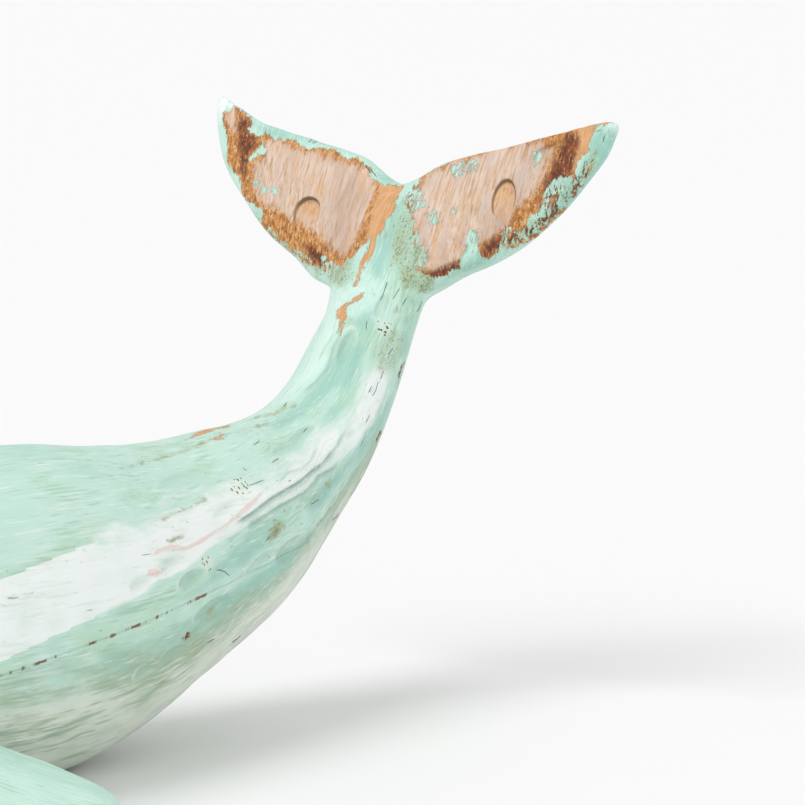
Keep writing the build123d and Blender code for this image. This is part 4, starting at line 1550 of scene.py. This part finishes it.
def plank_spine(upper, pitch):
    """The spine's readings along one plank, as columns, and the angle from the back at which the
    glue plane cuts each oval. The lower plank ends where the plane leaves the oval's underside."""
    seen_end = np.interp(SEEN_SHARE, SPINE.share(SPINE.fine), SPINE.fine)
    places = spread(SPINE.joint, SPINE.end, pitch, SPINE.joint, seen_end, FINER_ALONG)
    cx, cz, wide, deep, tx, tz, length = SPINE.at(places)
    level = (GLUE_HEIGHT - cz) * cos(GLUE_TILT) + cx * sin(GLUE_TILT)
    level = level / -(tz * sin(GLUE_TILT) + tx * cos(GLUE_TILT))
    ratio = level / np.maximum(deep, 1e-6)
    rows = len(places) if upper else np.argmax(ratio <= -1) + 1
    side = np.arccos(np.clip(ratio, -1, 1))
    return [row[:rows, None] for row in (places, cx, cz, wide, deep, tx, tz, length, side)]


def oval_normals(angle, wide, deep, tx, tz, length):
    """Outward unit normals of the spine's ovals: the oval's own normal, leaning along the spine
    where its half width and half depth change with the length."""
    run = length[:, 0] + np.arange(len(length)) * 1e-6
    wide_slope, deep_slope = (np.gradient(row[:, 0], run)[:, None] for row in (wide, deep))
    across, up = -np.sin(angle) / wide.clip(1), np.cos(angle) / deep.clip(1)
    lean = np.sin(angle) * across * wide_slope - np.cos(angle) * up * deep_slope
    normal = np.stack([up * tz + lean * tx, across, lean * tz - up * tx], -1)
    return normal / np.linalg.norm(normal, axis=2, keepdims=True)


def plank(name, upper):
    """One plank of the trunk: at each place along the spine an arc of the body's oval, from one
    side of the glue plane over the back or under the belly to the other, closed by the straight
    line across the glue plane. The skin is raised by the relief, and the belly is planed flat."""
    pitch = grid_pitch(bpy.context.scene.whale_sizes.trunk_pitch)
    places, cx, cz, wide, deep, tx, tz, length, side = plank_spine(upper, pitch)
    near = (0.45, 1.1) if upper else (-0.1, 0.5)
    share = spread(0, 1, pitch / GIRTH, *near, FINER_ROUND)
    low, high = (-side, side) if upper else (side, 2 * pi - side)
    angle = low + (high - low) * share
    across, up = -wide * np.sin(angle), deep * np.cos(angle)
    chord = np.linspace(0, 1, GLUE_STEPS)[1:-1]
    across, up = (
        np.hstack([row, row[:, -1:] + (row[:, :1] - row[:, -1:]) * chord]) for row in (across, up))
    rows, columns = up.shape
    skin = np.stack([cx + up * tz, across, cz - up * tx], -1)

    round_skin = skin[:, : len(share)].reshape(-1, 3)
    normals = oval_normals(angle, wide, deep, tx, tz, length).reshape(-1, 3)
    wrapped = ((angle + pi) % (2 * pi) - pi).ravel()
    place_grid, length_grid = (np.repeat(row, len(share)) for row in (places, length))
    seen = views(round_skin, normals, np.zeros(len(round_skin)))
    relief, shade, rim = body_relief(round_skin, seen, place_grid, length_grid, wrapped)
    relief = relief + head_relief(round_skin, SPINE.share(place_grid), wrapped)
    relief = relief * smooth(SPINE.end - place_grid, 2, 30)
    skin[:, : len(share)] += (normals * relief[:, None]).reshape(rows, -1, 3)
    skin[..., 2] = np.maximum(skin[..., 2], BELLY_FLAT)

    marks = paint_marks(seen) | {"shade": shade, "rim": rim, "low": belly_share(wrapped)}
    marks = {key: on_skin(values, rows, columns) for key, values in marks.items()}
    thin = grain_scale(wide, deep)
    grain = np.stack(np.broadcast_arrays(length, across * thin, up * thin), -1)
    piece = make_tube(name, skin, marks, grain.reshape(-1, 3))
    dress(piece, painted_wood(), "painted_wood", name)


def belly_share(angle):
    """How far down on the body a point lies: zero to just below the side, one under the belly."""
    return smooth(degrees(1) * np.abs(angle), 88, 140)


def grain_scale(wide, deep):
    """Scale of the grain across the body: it shrinks with the root of the girth, so that the
    streaks run along the taper and are not cut short by it."""
    return np.sqrt(30 / np.maximum(np.sqrt(wide * deep), 30))


def on_skin(values, rows, columns):
    """Readings of the skin's part of each ring, with zero on the glued face."""
    skin = values.reshape(rows, -1)
    return np.hstack([skin, np.zeros((rows, columns - skin.shape[1]))]).ravel()


def tail_skin(pitch):
    """The smooth skin of stock and flukes, with its normals: a surface net of the tail's field,
    moved onto its zero level by two Newton steps."""
    depth = fluke_depth_map()
    axes = [np.arange(low, high, pitch) for low, high in zip(TAIL_LOW, TAIL_HIGH, strict=True)]
    flat_x, flat_z = np.meshgrid(axes[0], axes[2], indexing="ij")
    field = np.empty([len(axis) for axis in axes], np.float32)
    known = SPINE.nearest(flat_x, flat_z)
    for j, y in enumerate(axes[1]):
        field[:, j] = tail_value(np.stack([flat_x, np.full_like(flat_x, y), flat_z], -1), depth, known)
    vertices, quads = surface_net(field, TAIL_LOW, pitch)

    def value(points):
        return tail_value(points, depth)

    for _ in range(2):
        slope = gradient(value, vertices)
        steep = (slope**2).sum(1).clip(1e-3)
        vertices = vertices - slope * (value(vertices) / steep)[:, None]
    normals = gradient(value, vertices)
    return vertices, quads, normals / np.linalg.norm(normals, axis=1, keepdims=True)


def tail_pieces():
    """Stock and flukes: one skin, carved, and cut apart at the joints."""
    sizes = bpy.context.scene.whale_sizes
    vertices, quads, normals = tail_skin(grid_pitch(sizes.tail_pitch))
    place, length, up, angle, tube = body_coordinates(vertices)
    on_blade = smooth(tube, 2, 14)
    seen = views(vertices, normals, on_blade)
    relief, shade, rim = body_relief(vertices, seen, place, length, angle)
    waver = sizes.hand_wander / MM * wander(vertices, wavelength=30, seed=5)
    blade_relief = blend_views(seen[:1], seen_relief)[0] + waver
    relief = relief * (1 - on_blade) + blade_relief * on_blade
    carved = vertices + normals * relief[:, None]
    low = belly_share(angle) * smooth(SPINE.share(place), 0.06, 0.2) * (1 - on_blade)
    marks = paint_marks(seen) | {"shade": shade, "rim": rim, "low": low, "glued": np.zeros(len(carved))}
    thin = grain_scale(*SPINE.at(place)[2:4])
    grain = np.column_stack([length, vertices[:, 1] * thin, up * thin])
    cx, cz, _, _, tx, tz, _ = SPINE.at(SPINE.joint)
    joint = (np.array([cx, 0, cz]), np.array([tx, 0, tz]), 0)
    left, right = np.array([0, 1, 0]), np.array([0, -1, 0])
    at_left, at_right = FLUKE_JOINT * left, FLUKE_JOINT * right
    cuts = {
        "tail_stock": [joint, (at_left, left, ARMPIT), (at_right, right, ARMPIT)],
        "fluke_left": [(at_left, right, ARMPIT)],
        "fluke_right": [(at_right, left, ARMPIT)],
    }
    above = quads[(carved[quads][..., 2] > ARMPIT).all(1)]
    for name, planes in cuts.items():
        piece = make_mesh(name, carved, quads if name == "tail_stock" else above, marks, grain)
        cut_away(piece, planes)
        dress(piece, painted_wood(), "painted_wood", name)


def flipper(name, hand):
    """A paddle: ovals whose chord, thickness and sweep follow splines of the place along the
    flipper, mirrored past the tip so that it is round. Its root lies inside the body."""
    low, high = node_box(name)
    level = cos(FLIPPER_DROOP)
    out = np.array([sin(FLIPPER_SWEEP) * level, cos(FLIPPER_SWEEP) * level, -sin(FLIPPER_DROOP)])
    back = np.cross(out, np.cross(np.array([1.0, 0, 0]), out))
    back /= np.linalg.norm(back)
    thick = np.cross(out, back)
    rows = FLIPPER_SHARES * [FLIPPER_LENGTH, FLIPPER_WIDTH / 2, FLIPPER_THICKNESS / 2, FLIPPER_WIDTH]
    table = np.vstack([rows, rows[-2:-4:-1] * [1, -1, -1, 1]])
    knots = running(np.hypot(np.diff(table[:, 0]), np.diff(table[:, 1])))
    tip = knots[len(rows) - 1]
    places = np.linspace(0, tip, 130)
    along, chord, height, sweep = (column[:, None] for column in spline(knots, table, places).T)
    turn = circle(96)
    across, up = chord * np.cos(turn), height * np.sin(turn)
    shape = along[..., None] * out + (sweep + across)[..., None] * back + up[..., None] * thick
    tip_high = shape.reshape(-1, 3).max(0)
    reach = high[1] if hand > 0 else -low[1]
    shape = shape + [high[0] - tip_high[0], reach - tip_high[1], low[2] - shape[..., 2].min()]
    normal = np.cross(np.gradient(shape, axis=0), np.gradient(shape, axis=1))
    normal /= np.linalg.norm(normal, axis=2, keepdims=True).clip(1e-6)
    relief = 0.4 * wander(shape.reshape(-1, 3), wavelength=26, seed=21).reshape(shape.shape[:2])
    relief = relief * smooth(tip - places, 2, 20)[:, None]
    shape = (shape + normal * relief[..., None]) * [1, hand, 1]
    count = shape.shape[0] * shape.shape[1]
    marks = {key: np.full(count, NEVER) for key in (
        "bare", "pale", "dark", "fresh", "speckle", "chalk", "pink", "olive", "stipple", "pins", "crack",
        "thumb", "dent", "mottled", "ledge", "painted_bounce")}
    marks |= {key: np.zeros(count) for key in ("tint", "shade", "rim", "low", "glued")}
    marks["unseen"] = np.ones(count)
    grain = np.stack([np.broadcast_to(along, up.shape), across, up], -1)
    piece = make_tube(name, shape, marks, grain.reshape(-1, 3))
    dress(piece, painted_wood(), "painted_wood", name)


def bead(name):
    """A round bead: a circle's profile turned about the axis across the whale."""
    low, high = node_box(name)
    hand = 1 if low[1] > 0 else -1
    radius = (high[0] - low[0]) / 2
    middle = (low + high) / 2
    middle[1] = (high[1] if hand > 0 else low[1]) - hand * radius
    polar = np.linspace(0, pi, 40)[:, None]
    turn = circle(64)
    ball = np.stack(np.broadcast_arrays(
        np.sin(polar) * np.cos(turn), hand * np.cos(polar), np.sin(polar) * np.sin(turn)), -1)
    piece = make_mesh(name, ball.reshape(-1, 3) * radius + middle, ring_quads(*ball.shape[:2]))
    tidy_shell(piece)
    dress(piece, eye_bead(), "eye_bead", name)


def pads():
    """Four discs of felt: a profile with a rounded, slightly bulging edge turned about an upright
    axis, its rim wavering a little."""
    low, high = node_box("felt_pads")
    half = np.array([(0.0, 0.0), (0.5, 0.0), (0.9, 0.0), (0.96, 0.06), (0.985, 0.25)])
    profile = np.vstack([half, half[::-1] * [1, -1] + [0, 1]]) * [PAD_RADIUS, high[2] - low[2]]
    turn = circle(72)
    quads = ring_quads(len(profile), len(turn))
    spots = [(x, y) for x in (low[0] + PAD_RADIUS, high[0] - PAD_RADIUS)
             for y in (low[1] + PAD_RADIUS, high[1] - PAD_RADIUS)]
    vertices, faces = [], []
    for number, (x, y) in enumerate(spots):
        waver = 1 + 0.008 * np.sin(turn * 7 + number) + 0.006 * np.sin(turn * 17 + 2 * number)
        reach = profile[:, :1] * waver
        disc = np.stack(np.broadcast_arrays(
            x + reach * np.cos(turn), y + reach * np.sin(turn), profile[:, 1:]), -1)
        vertices.append(disc.reshape(-1, 3))
        faces.append(quads + number * reach.size)
    piece = make_mesh("felt_pads", np.vstack(vertices), np.vstack(faces))
    tidy_shell(piece)
    dress(piece, felt(), "felt", "felt_pads")


# Operators


class WHALE_OT_trunk(bpy.types.Operator):
    """Build the two planks of the trunk"""

    bl_idname = "whale.trunk"
    bl_label = "Trunk planks"

    def execute(self, context):
        plank("trunk_upper", True)
        plank("trunk_lower", False)
        return {"FINISHED"}


class WHALE_OT_tail(bpy.types.Operator):
    """Build the tail stock and the two flukes"""

    bl_idname = "whale.tail"
    bl_label = "Tail and flukes"

    def execute(self, context):
        tail_pieces()
        return {"FINISHED"}


class WHALE_OT_flippers(bpy.types.Operator):
    """Build the two flippers"""

    bl_idname = "whale.flippers"
    bl_label = "Flippers"

    def execute(self, context):
        flipper("flipper_left", 1)
        flipper("flipper_right", -1)
        return {"FINISHED"}


class WHALE_OT_eyes(bpy.types.Operator):
    """Build the bead eyes"""

    bl_idname = "whale.eyes"
    bl_label = "Eyes"

    def execute(self, context):
        bead("eye_left")
        bead("eye_right")
        return {"FINISHED"}


class WHALE_OT_pads(bpy.types.Operator):
    """Build the felt pads"""

    bl_idname = "whale.pads"
    bl_label = "Felt pads"

    def execute(self, context):
        pads()
        return {"FINISHED"}


class WHALE_OT_dowels(bpy.types.Operator):
    """Give the hidden dowels their wood"""

    bl_idname = "whale.dowels"
    bl_label = "Dowels"

    def execute(self, context):
        for name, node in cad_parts.items():
            if "dowel" in name:
                node.data.materials.clear()
                node.data.materials.append(bare_wood())
        return {"FINISHED"}


class WHALE_OT_stage(bpy.types.Operator):
    """Set the floor, the light and the photographed view"""

    bl_idname = "whale.stage"
    bl_label = "Floor, light and camera"

    def execute(self, context):
        make_floor()
        make_light()
        make_camera()
        return {"FINISHED"}


def make_floor():
    """A plain round floor under the whale, so wide that its edge is out of the picture."""
    turn = circle(128)
    rim = np.column_stack([np.cos(turn), np.sin(turn), np.zeros_like(turn)]) * FLOOR_RADIUS
    floor = make_mesh("floor", rim, np.arange(len(rim))[None])
    floor.data.materials.append(floor_finish())


def make_light():
    """A pale world, one broad soft lamp high on the photograph's left, and a weak fill on its right."""
    scene = bpy.context.scene
    world = bpy.data.worlds.new("studio")
    scene.world = world
    world.use_nodes = True
    background = world.node_tree.nodes["Background"]
    background.inputs["Color"].default_value = (1.0, 1.0, 1.0, 1.0)
    ray = world.node_tree.nodes.new("ShaderNodeLightPath")
    strength = world.node_tree.nodes.new("ShaderNodeMapRange")
    strength.inputs["To Min"].default_value = WORLD_LIGHT
    strength.inputs["To Max"].default_value = WORLD_SEEN
    world.node_tree.links.new(ray.outputs["Is Camera Ray"], strength.inputs["Value"])
    world.node_tree.links.new(strength.outputs["Result"], background.inputs["Strength"])
    for name, values in LAMPS.items():
        make_lamp(name, *values)


def make_lamp(name, power, width, back, right, up):
    """A sun lamp that shines from back, right and up of the photographed view."""
    lamp = bpy.data.lights.new(name, "SUN")
    lamp.energy = power
    lamp.angle = radians(width)
    holder = bpy.data.objects.new(name, lamp)
    bpy.context.scene.collection.objects.link(holder)
    line = back * PHOTO.back + right * PHOTO.right + np.array([0, 0, up])
    holder.matrix_world = looking(PHOTO.place * MM, line / np.linalg.norm(line))


def looking(place, back):
    """The matrix of something at a place that looks along minus back, with its top up."""
    right = np.cross([0, 0, 1], back)
    right /= np.linalg.norm(right)
    matrix = np.eye(4)
    matrix[:3] = np.column_stack([right, np.cross(back, right), back, place])
    return Matrix(matrix)


def make_camera():
    """The photograph's camera: far away with a long lens, a little above the tail."""
    scene = bpy.context.scene
    camera = bpy.data.cameras.new("camera")
    camera.sensor_width = SENSOR
    camera.lens = FOCAL_PIXELS * SENSOR / PHOTO_SIDE
    camera.clip_end = 100
    holder = bpy.data.objects.new("camera", camera)
    scene.collection.objects.link(holder)
    holder.matrix_world = looking(PHOTO.place * MM, PHOTO.back)
    scene.camera = holder
    scene.view_settings.view_transform = "Standard"


class WHALE_PT_panel(bpy.types.Panel):
    """The whale's pieces in the sidebar"""

    bl_label = "Carved whale"
    bl_space_type = "VIEW_3D"
    bl_region_type = "UI"
    bl_category = "Whale"

    def draw(self, context):
        for step in STEPS:
            self.layout.operator(step.bl_idname)
        for group in (context.scene.whale_sizes, context.scene.whale_colours):
            for name in group.__annotations__:
                self.layout.prop(group, name)


STEPS = (
    WHALE_OT_trunk, WHALE_OT_tail, WHALE_OT_flippers, WHALE_OT_eyes, WHALE_OT_pads, WHALE_OT_dowels,
    WHALE_OT_stage,
)
CLASSES = (WhaleSizes, WhaleColours, *STEPS, WHALE_PT_panel)


def register():
    """Adds the classes, and the settings to each scene."""
    for item in CLASSES:
        bpy.utils.register_class(item)
    bpy.types.Scene.whale_sizes = PointerProperty(type=WhaleSizes)
    bpy.types.Scene.whale_colours = PointerProperty(type=WhaleColours)


def unregister():
    """Takes them away again."""
    del bpy.types.Scene.whale_colours
    del bpy.types.Scene.whale_sizes
    for item in reversed(CLASSES):
        bpy.utils.unregister_class(item)


def main():
    """Registers the classes and builds every piece."""
    register()
    for step in STEPS:
        group, name = step.bl_idname.split(".")
        getattr(getattr(bpy.ops, group), name)()


if __name__ == "__main__":
    main()
